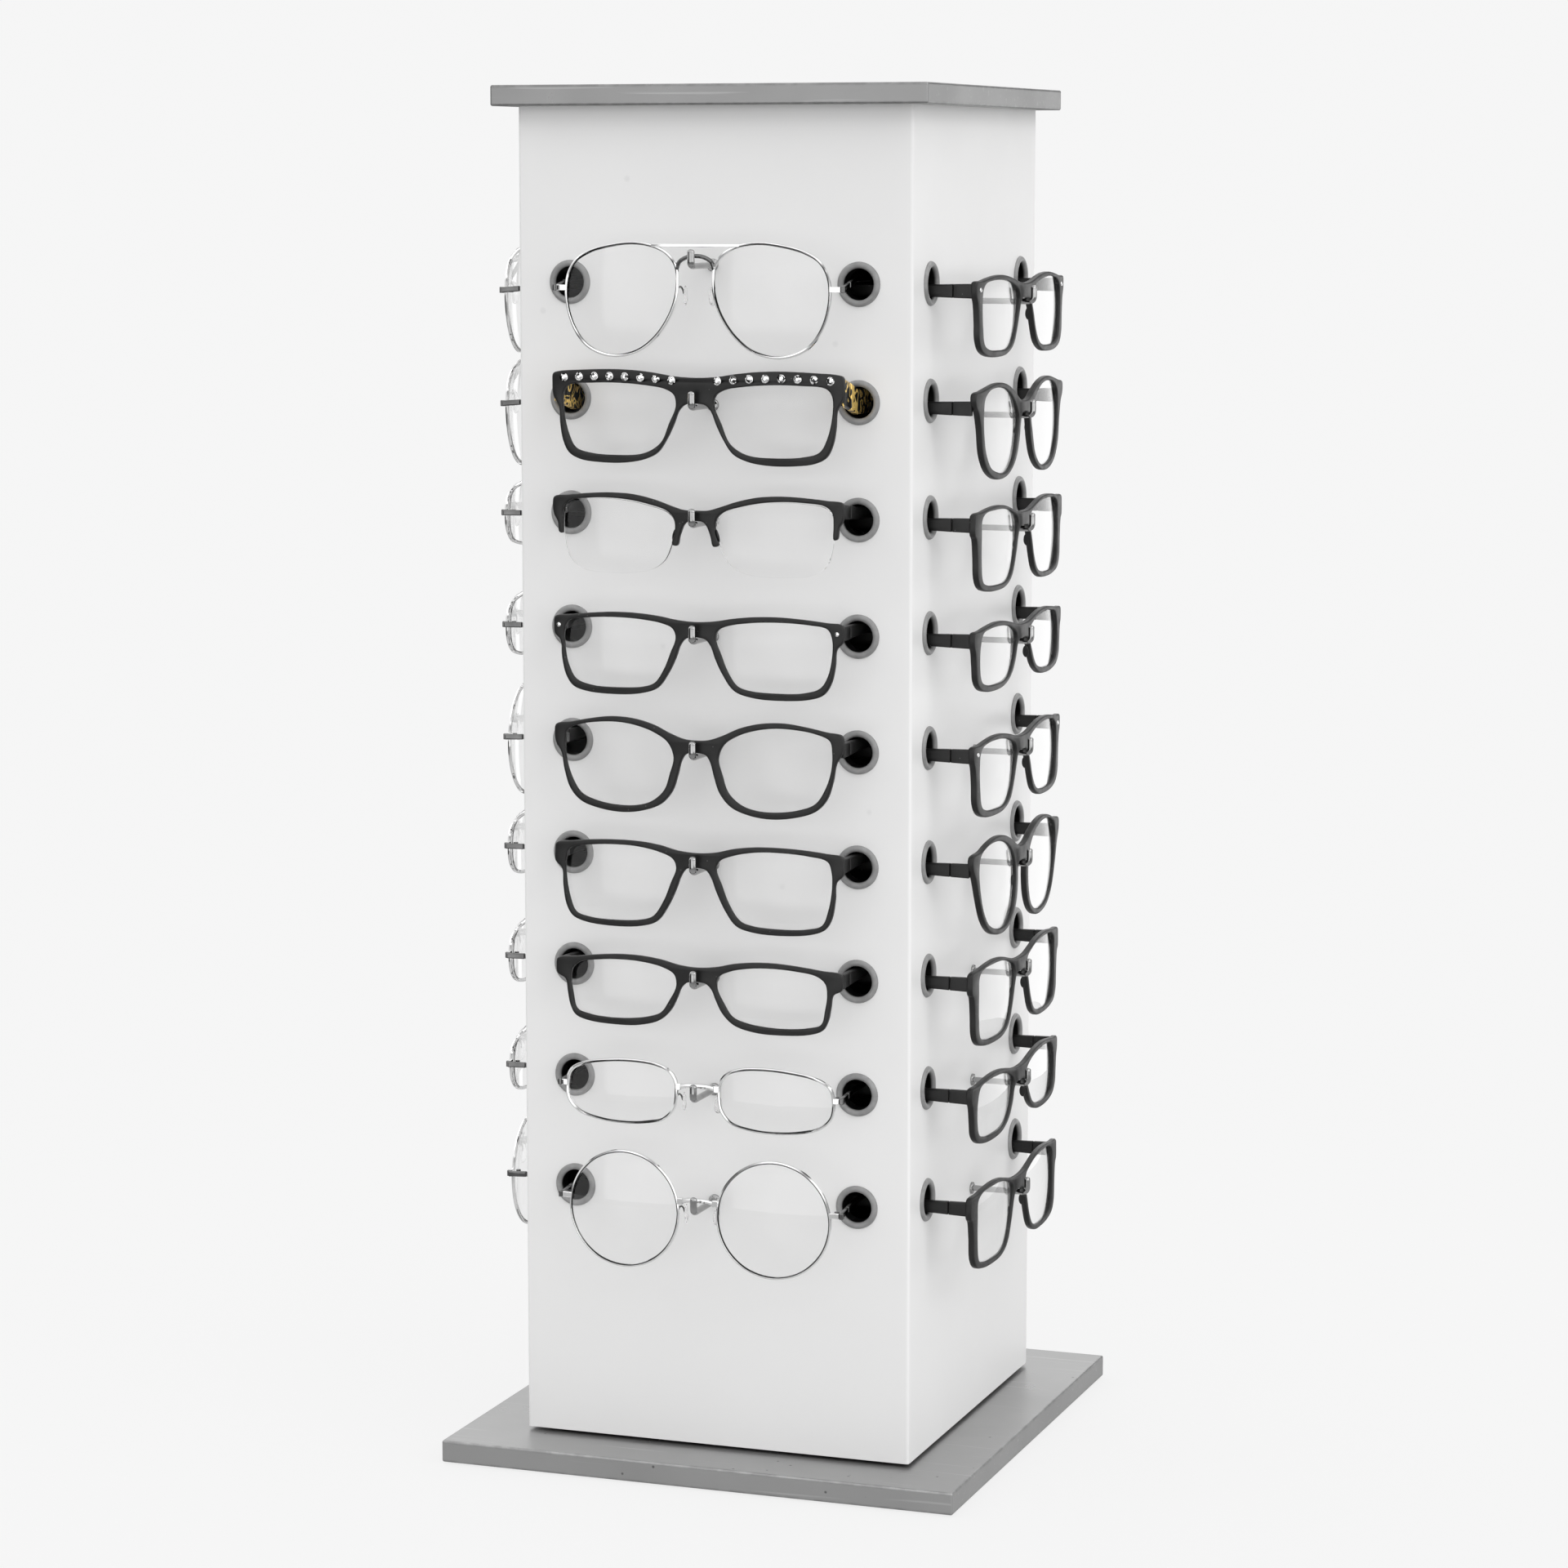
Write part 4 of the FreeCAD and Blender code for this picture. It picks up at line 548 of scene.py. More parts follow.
frame_black = acetate_finish("frame_black", (0.32, 0.44))
temple_black = acetate_finish("temple_black", (0.34, 0.46), (0.005, 0.009))
gilt = gilt_finish()
print("acetates:", frame_black.name, temple_black.name, gilt.name)

# %% [markdown]
# ### Lenses and soft pads
# Lenses are clear plastic and pads are clear silicone.  A glass shader bends light and
# mirrors the soft boxes, but it also casts hard dark shadows.  The Light Path node lets
# shadow and diffuse rays go straight through instead, and the eye still sees glass.  A
# coated lens mirrors less, which a lower index tells.

# %% Make the clear finishes
def clear_finish(name, ior, tint, rough):
    """Clear plastic: a glass shader that lets soft light through unbent."""
    material, tree, sockets, place = new_finish(name, IOR=ior)
    sockets["Transmission Weight"].default_value = 1.0
    smudge = use(tree, mottle_tree, place, Scale=70.0, Low=0.0, High=1.0)
    tree.links.new(blended(tree, smudge, grey(tint), grey(1.0)), sockets["Base Color"])
    haze = use(tree, mottle_tree, place, Scale=45.0, Low=rough[0], High=rough[1])
    tree.links.new(haze, sockets["Roughness"])
    path = add(tree, "ShaderNodeLightPath").outputs
    soft = maths(tree, "MAXIMUM", path["Is Shadow Ray"], path["Is Diffuse Ray"])
    straight = add(tree, "ShaderNodeBsdfTransparent")
    mix = add(tree, "ShaderNodeMixShader", {0: soft})
    tree.links.new(tree.nodes["Principled BSDF"].outputs[0], mix.inputs[1])
    tree.links.new(straight.outputs[0], mix.inputs[2])
    tree.links.new(mix.outputs[0], tree.nodes["Material Output"].inputs["Surface"])
    return material


lens_clear = clear_finish("lens_clear", 1.50, 0.985, (0.0, 0.012))
lens_coated = clear_finish("lens_coated", 1.16, 0.975, (0.0, 0.012))
pad_clear = clear_finish("pad_clear", 1.41, 0.90, (0.12, 0.22))
print("clear finishes:", lens_clear.name, lens_coated.name, pad_clear.name)

# %% [markdown]
# ### Board and rubber
# The boards and battens inside are plain wood, and the feet are rubber.  Both are matt
# and hardly seen, so one function with a grain, flecks and a bump serves them both.

# %% Make the matt finishes
def dull_finish(name, dark, light, scale, rough):
    """A matt material with a grainy colour and bump."""
    material, tree, sockets, place = new_finish(name)
    grain = use(tree, mottle_tree, place, Scale=scale, Low=0.0, High=1.0)
    fleck = use(tree, speck_tree, place, Scale=scale * 4, Share=0.25)
    tone = blended(tree, grain, dark, light)
    tone = blended(tree, fleck, tone, tuple(0.6 * c for c in dark[:3]) + (1.0,))
    tree.links.new(tone, sockets["Base Color"])
    uneven = use(tree, mottle_tree, place, Scale=scale, Low=rough, High=rough + 0.15)
    tree.links.new(uneven, sockets["Roughness"])
    bumped(tree, sockets, grain, 0.2, 0.0003)
    return material


board_wood = dull_finish("board_wood", (0.30, 0.21, 0.13, 1), (0.42, 0.31, 0.20, 1), 160.0,
                         0.6)
foot_rubber = dull_finish("foot_rubber", grey(0.012), grey(0.022), 300.0, 0.7)
print("finishes:", len(bpy.data.materials))

# %% [markdown]
# ## Pieces kept from the engineering model
# The plates, boards, posts, bearing, screws, nuts, hinges and feet already have their
# true shape.  To make them again would only risk moving them, so they just take their
# finish.

# %% Give the kept nodes their finish
KEPT = {
    "base_plate": base_metal, "top_plate": top_metal_shaded, "base_feet": foot_rubber,
    "bearing_lower_plate": bearing_steel, "bearing_upper_plate": bearing_steel,
    "bearing_balls": bearing_steel, "bearing_base_screws": bearing_steel,
    "bearing_column_screws": bearing_steel, "top_plate_screws": bearing_steel,
    "column_bottom_board": board_wood, "column_top_board": board_wood,
    "corner_posts": board_wood, "hook_nuts": bearing_steel, "temple_hinges": hinge_steel,
}
for name, finish in KEPT.items():
    nodes[name].data.materials.clear()
    nodes[name].data.materials.append(finish)
print("kept nodes:", len(KEPT))

# %% [markdown]
# ## Helpers for shapes
# Panels, spectacle fronts and temples are all cut from sheet, so each begins as a closed
# flat outline.  Solidify and Bevel could thicken and round a flat mesh; a filled curve
# with an extrusion and a bevel does both at once and leaves clean rims.  Wires are curves
# with a round bevel, and round pieces are turned as on a lathe.

# %% Smooth and cornered outlines
def smooth_spline(curve, points, closed=True):
    """Cubic pieces through the points: a centripetal Catmull-Rom curve."""
    count = len(points)
    spline = curve.splines.new("BEZIER")
    spline.bezier_points.add(count - 1)
    spline.use_cyclic_u = closed
    for index, knot in enumerate(spline.bezier_points):
        here = points[index]
        before = points[index - 1]
        after = points[(index + 1) % count]
        if not closed and index == 0:
            before = 2 * here - after
        if not closed and index == count - 1:
            after = 2 * here - before
        one = math.sqrt((here - before).length)
        two = math.sqrt((after - here).length)
        middle = 2 * one ** 2 + 3 * one * two + two ** 2
        ahead = (after * one ** 2 - before * two ** 2 + here * middle) / (
            3 * one * (one + two))
        middle = 2 * two ** 2 + 3 * one * two + one ** 2
        behind = (before * two ** 2 - after * one ** 2 + here * middle) / (
            3 * two * (one + two))
        knot.handle_left_type = knot.handle_right_type = "FREE"
        knot.co, knot.handle_left, knot.handle_right = here, behind, ahead


def cornered_spline(curve, corners):
    """Straight runs with round corners: (x, y, radius) in millimetres, closed."""
    knots = []
    for index, (x, y, radius) in enumerate(corners):
        here = Vector((x, y, 0))
        into = (here - Vector((*corners[index - 1][:2], 0))).normalized()
        following = corners[(index + 1) % len(corners)]
        out = (Vector((*following[:2], 0)) - here).normalized()
        turn = into.angle(out)
        reach = radius * math.tan(turn / 2)
        pull = 4 / 3 * math.tan(turn / 4) * radius
        if reach < 1e-6:
            knots.append((here, here, here))
            continue
        start, end = here - into * reach, here + out * reach
        knots.append((start, start, start + into * pull))
        knots.append((end, end - out * pull, end))
    spline = curve.splines.new("BEZIER")
    spline.bezier_points.add(len(knots) - 1)
    spline.use_cyclic_u = True
    for knot, (place, left, right) in zip(spline.bezier_points, knots):
        knot.handle_left_type = knot.handle_right_type = "FREE"
        knot.co, knot.handle_left, knot.handle_right = (
            place * MM, left * MM, right * MM)


def flat_loop(points):
    """Outline points in millimetres as vectors in metres."""
    return [Vector((x * MM, z * MM, 0)) for x, z in points]


print("outline helpers: smooth_spline, cornered_spline, flat_loop")

# %% From curve to mesh
SHARP_ANGLE = math.radians(38.0)


def as_mesh(curve):
    """The mesh of a curve, with its doubles merged and its soft edges smooth."""
    holder = bpy.data.objects.new("holder", curve)
    mesh = bpy.data.meshes.new_from_object(holder)
    bpy.data.objects.remove(holder)
    bpy.data.curves.remove(curve)
    work = bmesh.new()
    work.from_mesh(mesh)
    bmesh.ops.remove_doubles(work, verts=work.verts, dist=2e-6)
    bmesh.ops.dissolve_degenerate(work, edges=work.edges, dist=1e-6)
    bmesh.ops.recalc_face_normals(work, faces=work.faces)
    work.to_mesh(mesh)
    work.free()
    return softened(mesh)


def softened(mesh):
    """Smooth shading, broken at edges that turn more than the sharp angle."""
    mesh.shade_smooth()
    mesh.set_sharp_from_angle(angle=SHARP_ANGLE)
    return mesh


def mesh_from(work, name):
    """The mesh of a finished bmesh, which is freed."""
    mesh = bpy.data.meshes.new(name)
    work.to_mesh(mesh)
    work.free()
    return mesh


print("edges sharper than %.0f degrees stay sharp" % math.degrees(SHARP_ANGLE))

# %% Sheet and wire
def cut_sheet(loops, thick, edge, steps=5, rounds=2):
    """A part cut from sheet along closed loops; the loops are smooth lists of points
    or cornered lists with radii.  It lies in x-y and is thick in z."""
    curve = bpy.data.curves.new("outline", "CURVE")
    curve.dimensions = "2D"
    curve.fill_mode = "BOTH"
    curve.resolution_u = steps
    curve.extrude = (thick / 2 - edge) * MM
    curve.bevel_depth = edge * MM
    curve.bevel_resolution = rounds
    curve.offset = -edge * MM
    for loop in loops:
        if len(loop[0]) == 3:
            cornered_spline(curve, loop)
        else:
            smooth_spline(curve, flat_loop(loop))
    return as_mesh(curve)


def rod(points, radius, closed=False, steps=6, rounds=2):
    """A round wire through points given in metres."""
    curve = bpy.data.curves.new("rod", "CURVE")
    curve.dimensions = "3D"
    curve.resolution_u = steps
    curve.bevel_depth = radius * MM
    curve.bevel_resolution = rounds
    curve.use_fill_caps = not closed
    smooth_spline(curve, points, closed)
    return as_mesh(curve)


print("sheet and wire helpers: cut_sheet, rod")

# %% Turned and reshaped meshes
def turned(profile, sides, closed=True):
    """A shape turned about the y axis from (radius, y) in millimetres."""
    work = bmesh.new()
    rings = []
    for radius, along in profile:
        count = sides if radius > 1e-6 else 1
        ring = []
        for index in range(count):
            angle = 2 * math.pi * index / sides
            ring.append(work.verts.new((radius * MM * math.cos(angle), along * MM,
                                        radius * MM * math.sin(angle))))
        rings.append(ring)
    following = rings[1:] + (rings[:1] if closed else [])
    for one, two in zip(rings, following):
        for index in range(sides):
            nxt = index + 1
            quad = [one[index % len(one)], one[nxt % len(one)],
                    two[nxt % len(two)], two[index % len(two)]]
            quad = list(dict.fromkeys(quad))
            if len(quad) > 2:
                work.faces.new(quad)
    bmesh.ops.recalc_face_normals(work, faces=work.faces)
    return softened(mesh_from(work, "turned"))


def reshaped(mesh, rule):
    """The same mesh with every point moved by a rule."""
    for vertex in mesh.vertices:
        vertex.co = rule(vertex.co)
    return mesh


print("mesh helpers: turned, reshaped")

# %% Join copies and finish a piece
def joined(name, parts):
    """One mesh from placed copies: parts are (mesh, place, finish number)."""
    work = bmesh.new()
    for mesh, place, finish in parts:
        copy = mesh.copy()
        copy.transform(place)
        copy.polygons.foreach_set("material_index", [finish] * len(copy.polygons))
        work.from_mesh(copy)
        bpy.data.meshes.remove(copy)
    return mesh_from(work, name)


def finished(name, mesh, materials, body, stands_for):
    """Link a mesh as a piece that rides on a body and stands for engineering nodes."""
    for material in materials:
        mesh.materials.append(material)
    piece = bpy.data.objects.new(name, mesh)
    scene.collection.objects.link(piece)
    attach(piece, body)
    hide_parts(*stands_for)
    print("%-34s %6d faces" % (name, len(mesh.polygons)))


def gathered(name, parts, materials, body, stands_for):
    """Join placed copies and finish them as one piece."""
    finished(name, joined(name, parts), materials, body, stands_for)


# %% [markdown]
# ## Spectacle outlines
# Every front is described by its right half: the outer edge of the rim and the opening
# for the lens, in millimetres from the middle of the bridge.  Wire rims need only the
# middle line of one rim.  The shapes could be drawn with many points; a smooth curve
# through a few well placed ones has no flat spots and is easier to change.

# %% Acetate outlines of the front face
RIMS = {
    "flat_top": {
        "rim": [(0, 11), (10, 11.5), (20, 13), (30, 14), (42, 14.3), (56, 13.8), (67, 13),
                (69.6, 12), (70, 8), (69.5, 2), (68, -3), (67.3, -10), (65.6, -18),
                (62.5, -23.6), (57, -26.5), (46, -27.8), (34, -27.7), (25, -26),
                (19, -22.8), (14.5, -16.5), (11, -9.5), (8, -4), (5, -1.3), (2.5, -0.7)],
        "lens": [(9.2, -2), (11, -9.5), (14.5, -17.5), (19, -22), (26, -24.3), (38, -25),
                 (51, -24.3), (58.3, -22), (61.8, -15), (64, -4), (64.4, 3.6), (61.5, 6.9),
                 (50, 8), (38, 8.2), (24, 7.3), (14, 5.6), (10, 3)]},
    "soft_rectangle": {
        "rim": [(0, 6.4), (9, 7), (18, 8.5), (28, 9.5), (40, 9.7), (52, 8.9), (62, 7.8),
                (69.4, 6.8), (70, 3), (69.6, -1), (68, -4.2), (67, -12), (64.7, -20),
                (61, -24.8), (54, -27), (40, -27.9), (27, -27), (19.5, -24.2), (14, -17),
                (10.5, -10), (7.8, -4.5), (5, -1.5), (2.5, -0.7)],
        "lens": [(9.6, -1), (10.8, -8), (14, -15.5), (18.5, -21.8), (25, -24.5), (38, -25.3),
                 (51, -24.8), (58.7, -22.3), (62.2, -16), (64, -7), (64.5, 1), (62.4, 5),
                 (54, 6.6), (40, 7.3), (27, 6.8), (16, 5.2), (11, 3)]},
    "soft_oval": {
        "rim": [(0, 5.1), (6, 5.6), (13, 8), (21, 11.6), (31, 14), (42, 14.5), (53, 13),
                (62, 11.2), (69.3, 9.8), (70, 6), (69.4, 1.5), (68, -3), (66.2, -11),
                (63, -19.5), (57.5, -25), (48, -28), (36, -29.3), (26, -28), (18, -24.6),
                (12.5, -18.5), (9.8, -11), (7.4, -4.6), (5, -1.5), (2.5, -0.7)],
        "lens": [(10.7, -3), (11.3, -10.5), (14, -18), (20, -24), (29, -26.4), (39, -26.7),
                 (49, -25.2), (56.5, -21.3), (61, -14.5), (63.6, -6), (64.7, 2), (63.6, 7.3),
                 (57, 10.2), (47, 11.8), (37, 12), (28, 10.6), (20, 7.9), (13.5, 3.6)]},
    "square_ends": {
        "rim": [(0, 6.2), (9, 6.9), (18, 9), (28, 10.2), (40, 10.4), (52, 9.8), (62, 8.7),
                (69.5, 7.5), (70.2, 4), (70, -1), (68, -4.3), (67.2, -12), (65.3, -21),
                (62, -26), (55, -28.5), (40, -29.7), (27, -28.8), (20.3, -26.3),
                (15, -19.5), (10.8, -11), (7.8, -4.8), (5, -1.5), (2.5, -0.7)],
        "lens": [(9.7, -1), (11, -8), (14.3, -16), (19.5, -23.6), (26, -26.4), (40, -27.4),
                 (53, -26.8), (59.7, -24.7), (62.4, -17.5), (64, -8), (64.5, 0.5),
                 (62.6, 5.2), (54, 7.2), (40, 8.2), (28, 7.8), (17, 5.6), (11.3, 3)]},
    "narrow_rectangle": {
        "rim": [(0, 6), (9, 6.8), (18, 8.8), (28, 9.9), (38, 10), (50, 9), (60, 7.7),
                (69.3, 6.4), (70, 3), (69.4, -0.8), (66.6, -3.3), (65.3, -9), (63.8, -15),
                (61, -19.6), (54, -21.9), (40, -22.9), (28, -22.3), (19, -19.4),
                (13.5, -14.3), (10.2, -8), (7.7, -3.9), (5, -1.4), (2.5, -0.7)],
        "lens": [(9.8, -3), (12, -10), (16, -15.6), (23, -18.8), (33, -20.1), (44, -20.4),
                 (54, -19.4), (59.3, -16.8), (61, -10), (61.8, -3), (61.6, 2), (57.5, 5.2),
                 (48, 6.9), (37, 7.6), (26, 7.1), (16, 5.1), (10.8, 2.2)]},
}
print("front face:", len(RIMS), "acetate outlines")

# %% Acetate outlines of the right face
RIMS |= {
    "riveted_square": {
        "rim": [(0, -0.9), (9, -0.3), (19, 1.6), (30, 3.1), (41, 3.4), (52, 2.5),
                (62, 1.2), (69.4, 0.6), (70, -2.5), (69.6, -5.8), (68, -9), (67.8, -17),
                (66.8, -25.3), (63, -30.2), (55, -32.8), (40, -33.7), (27, -32.5),
                (19, -28.4), (13.4, -20), (10, -13.4), (7.4, -9.6), (5, -8.2), (2.5, -7.9)],
        "lens": [(9.8, -8.5), (12, -15.5), (15.5, -22.5), (20.5, -28.3), (28, -30.7),
                 (40, -31.3), (52, -30.6), (58.3, -27.8), (60.2, -20), (60.8, -11),
                 (60.4, -3.2), (56.5, -0.4), (48, 0.9), (38, 1.1), (27, 0.2), (17, -1.9),
                 (11.3, -4.3)]},
    "soft_round": {
        "rim": [(0, -2.4), (7, -1.5), (14, 1.6), (23, 5.1), (33, 7), (43, 7.1),
                (53, 5.8), (62, 4.4), (69.2, 3.3), (70, 0.5), (69, -2.6), (66.2, -5.6),
                (64.5, -13), (61.7, -24), (55.5, -31.6), (46, -35.8), (35, -37),
                (24, -35), (15, -29.2), (9.8, -20.5), (7.4, -13), (5, -9), (2.5, -7.9)],
        "lens": [(10.2, -10), (11.6, -18.5), (15.5, -27), (22, -32.8), (31, -34.9),
                 (41, -34), (49.5, -30.6), (55.2, -24), (57.8, -15), (58.8, -6), (57.5, 0),
                 (51.5, 3.6), (43, 4.9), (33, 4.5), (23, 1.6), (14.5, -4)]},
    "large_rectangle": {
        "rim": [(0, -1.2), (9, -0.7), (18, 1.1), (28, 3.2), (39, 4), (50, 3.5), (60, 2.4),
                (69.4, 1.4), (70.2, -2), (70, -7.6), (68, -9.8), (67.6, -18),
                (66.4, -27.4), (62.6, -32.1), (54, -34.3), (40, -35.1), (27, -34),
                (19.3, -29.8), (13.3, -20), (9.8, -12.6), (7.2, -9.2), (5, -8.1),
                (2.5, -7.9)],
        "lens": [(9.8, -7), (11.8, -14.5), (15.5, -23), (20.3, -29.6), (28, -32.2),
                 (40, -33), (52.5, -32.3), (58.6, -29.8), (60.2, -20), (60.7, -9),
                 (60.2, -1.8), (56, 0.9), (42, 2), (28, 1.4), (17, -1), (11.3, -3.3)]},
    "small_rectangle": {
        "rim": [(0, -1), (9, -0.5), (18, 1.1), (28, 2.6), (40, 3.1), (52, 2.2), (62, 1),
                (69.4, 0.3), (70.2, -2.5), (69.8, -5.8), (68.4, -8.5), (68.3, -15),
                (66.8, -21.6), (62.5, -25.6), (54, -27.7), (40, -28.4), (27, -27),
                (18, -22.4), (12.4, -15.6), (9.6, -10.8), (7, -8.6), (4.5, -8), (2.5, -7.9)],
        "lens": [(10, -8), (13.2, -15), (18.8, -21.3), (27, -24.9), (40, -26),
                 (52, -25.5), (59.3, -22.7), (61.3, -15), (61, -6), (58, -1.2), (48, 0.6),
                 (38, 0.9), (26, 0), (16, -2.2), (11, -4.8)]},
    "tall_round": {
        "rim": [(0, -0.4), (7, 0.8), (15, 4.2), (25, 7.4), (36, 8.6), (48, 7.4),
                (59, 4.6), (69.2, 3), (70, 0), (69.2, -3.2), (66, -8), (62.6, -18),
                (56.5, -28), (47.5, -34.6), (36, -37.7), (25, -37.5), (15.5, -33.5),
                (9.3, -26), (7.2, -17), (6.3, -11), (4.6, -8.3), (2.5, -7.9)],
        "lens": [(9.8, -13), (10.2, -22), (14, -30), (21, -34.8), (30, -36), (40, -34.8),
                 (49, -30.4), (55.2, -23), (59, -13.5), (61.3, -4.5), (59.3, 1.8),
                 (51.5, 5), (41, 6.2), (30, 5.2), (19.5, 1.3), (12.5, -5)]},
}
print("both faces:", len(RIMS), "acetate outlines")

# %% Half rim: one bar with stubs, and lenses that hang free below it
HALF_RIM = [(0, 4.1), (6, 4.3), (12, 6), (20, 8.6), (30, 10.7), (41, 11.3), (52, 10.8),
            (62, 9.8), (69.4, 8.8), (70.2, 5.5), (69.6, 0.8), (67.8, -2.4), (67, -7.3),
            (65.3, -7.6), (65.2, -1), (64.7, 4), (61.5, 7.2), (52, 8.6), (42, 8.9),
            (32, 8.2), (22, 6.3), (13.5, 3.6), (10, 0), (9.7, -5.5), (11.2, -11.4),
            (8.6, -11.8), (7.4, -7.5), (5.4, -2.6), (3.8, -1.1), (2.2, -0.7)]
HALF_LENS = [(10.3, -5), (12, -12), (15.5, -19), (22, -23.2), (32, -24.9), (44, -25),
             (55, -23.8), (61.6, -19.3), (64.4, -10), (64.7, -1), (64, 3.6), (60.8, 6.5),
             (52, 8), (42, 8.4), (32, 7.6), (22, 5.6), (14, 3), (10.7, -0.4)]
print("half rim:", len(HALF_RIM), "and", len(HALF_LENS), "points")

# %% Wire rims: the middle line of one rim
WIRES = {
    "wire_aviator": [(8.6, 1), (9.3, 8), (13.2, 13.2), (20, 16.7), (30, 18.1), (41, 16.9),
                     (51, 14.3), (58, 10.4), (61.8, 4.5), (63, -3), (62, -12),
                     (58.8, -20.5), (53.5, -27.3), (46, -31.2), (37, -32.2), (27, -29.4),
                     (18.5, -22.8), (12, -13.2), (9.2, -5)],
    "wire_rectangle": [(10.4, 0), (11, 5.5), (14.2, 9.9), (20.5, 12.3), (32, 13.3),
                       (45, 12.5), (57, 10.2), (63.4, 6.4), (65.2, 0), (64.2, -7.2),
                       (59, -12.3), (50, -14.9), (38, -15.8), (25.5, -15.1), (16.5, -12.7),
                       (11.6, -7.2)],
    "wire_round": [(36.6 + 27.0 * math.cos(math.radians(30 * k)),
                    -4.1 + 27.0 * math.sin(math.radians(30 * k))) for k in range(12)],
}
# Height of the straight bridge bar and of the end piece on each wire front.
WIRE_BRIDGE = {"wire_aviator": 17.2, "wire_rectangle": 3.2, "wire_round": 2.2}
WIRE_END = {"wire_aviator": -2.0, "wire_rectangle": 0.6, "wire_round": 0.0}
print("wire rims:", len(WIRES))

# %% [markdown]
# ## Column panels
# Four laminated boards meet in mitres, and their outer corner is eased by hand to a
# small round.  The holes could be cut by Booleans; as inner loops of a filled outline
# they are exact and need no cleaning.  A wedge at both ends of a board carries the eased
# corner and the mitre.

# %% Wedges for the panel ends
PANEL_THICK, CORNER, CORNER_STEPS = 6.0, 1.5, 5
HALF = HALF_SIDE / MM


def wedge(sign):
    """The end of a panel: straight skin, eased corner, mitre."""
    inner = HALF - PANEL_THICK
    middle = HALF - CORNER
    section = [(inner, -HALF)]
    for step in range(CORNER_STEPS + 1):
        angle = math.radians(-90 + 45 * step / CORNER_STEPS)
        section.append((middle + CORNER * math.cos(angle), -middle + CORNER * math.sin(angle)))
    section.append((inner, -inner))
    work = bmesh.new()
    ends = [[work.verts.new((sign * x * MM, y * MM, z)) for x, y in section]
            for z in (panel_low.z, panel_high.z)]
    count = len(section)
    for index in range(count):
        nxt = (index + 1) % count
        work.faces.new([ends[0][index], ends[0][nxt], ends[1][nxt], ends[1][index]])
    work.faces.new(ends[0])
    work.faces.new(ends[1])
    bmesh.ops.recalc_face_normals(work, faces=work.faces)
    return softened(mesh_from(work, "wedge"))


print("wedge height %.4f" % (panel_high.z - panel_low.z))

# %% Heights of the hooks
HOOK_RISE = {"front": -3.6, "right": -10.9, "back": -4.8, "left": -6.9}
HIGH_HOOK_RISE = {"front": 6.7, "right": 0.0, "back": 0.0, "left": 4.1}
HIGH_HOOK_ROWS = {"front": 1, "right": 0, "back": 0, "left": 2}


def hook_rise(face, row):
    """Underside of a hook's arm above its row, in millimetres."""
    high = row <= HIGH_HOOK_ROWS[face]
    return HIGH_HOOK_RISE[face] if high else HOOK_RISE[face]


print("hooks of the front face:", [hook_rise("front", row) for row in range(1, ROWS + 1)])

# %% Cut the panels with their holes
GROMMET_HOLE, STUD_HOLE = 8.5, 1.6
ROD = 1.4
NEARLY_ROUND = 0.9999


def circle_corners(x, y, radius):
    """A circle as a square whose four corners are rounded almost to its sides' middles."""
    return [(x + side * radius, y + rise * radius, radius * NEARLY_ROUND)
            for side, rise in ((-1, -1), (1, -1), (1, 1), (-1, 1))]


def panel_mesh(face):
    """The flat part of a panel with 18 grommet holes and 9 stud holes."""
    inner = HALF - PANEL_THICK
    low, high = panel_low.z / MM, panel_high.z / MM
    loops = [[(-inner, low, 0), (inner, low, 0), (inner, high, 0), (-inner, high, 0)]]
    for row in range(1, ROWS + 1):
        height = row_height(row) / MM
        for sign in (-1, 1):
            loops.append(circle_corners(sign * HOLE_PITCH / MM / 2, height, GROMMET_HOLE))
        loops.append(circle_corners(0, height + hook_rise(face, row) + ROD, STUD_HOLE))
    mesh = cut_sheet(loops, PANEL_THICK, 0.0, steps=6, rounds=0)
    middle = FACE_Y + PANEL_THICK / 2 * MM
    return reshaped(mesh, lambda p: Vector((p.x, middle - p.z, p.y)))


for face in FACES:
    place = on_face(face)
    parts = [(panel_mesh(face), place, 0), (wedge(-1), place, 0), (wedge(1), place, 0)]
    gathered(face + "_panel_board", parts, [panel_white], "column", [face + "_panel"])

# %% [markdown]
# ## A generator for rows of fittings
# Every face carries the same grid of fittings: two columns of grommets and one column
# of hooks, nine rows of each.  Array modifiers could repeat them.  A Geometry Nodes tree
# also lifts the rows that sit higher, turns the grid to its face and gives it its finish,
# and its named sizes let one tree serve grommets and hooks alike.

# %% Build the tree
INT, MATERIAL, GEOMETRY = "NodeSocketInt", "NodeSocketMaterial", "NodeSocketGeometry"
grid_tree, given, made = new_group("repeat_over_a_face", "GeometryNodeTree", [
    ("Part", GEOMETRY, None), ("Rows", INT, ROWS), ("Row pitch", FLOAT, 0.05),
    ("Lowest row", FLOAT, 0.1), ("Columns", INT, 2), ("Column pitch", FLOAT, 0.1),
    ("High rows", INT, 0), ("High lift", FLOAT, 0.0), ("Turn", FLOAT, 0.0),
    ("Finish", MATERIAL, None)], [("Pieces", GEOMETRY)])


def vector_of(tree, x=0.0, y=0.0, z=0.0):
    return add(tree, "ShaderNodeCombineXYZ", {"X": x, "Y": y, "Z": z}).outputs[0]


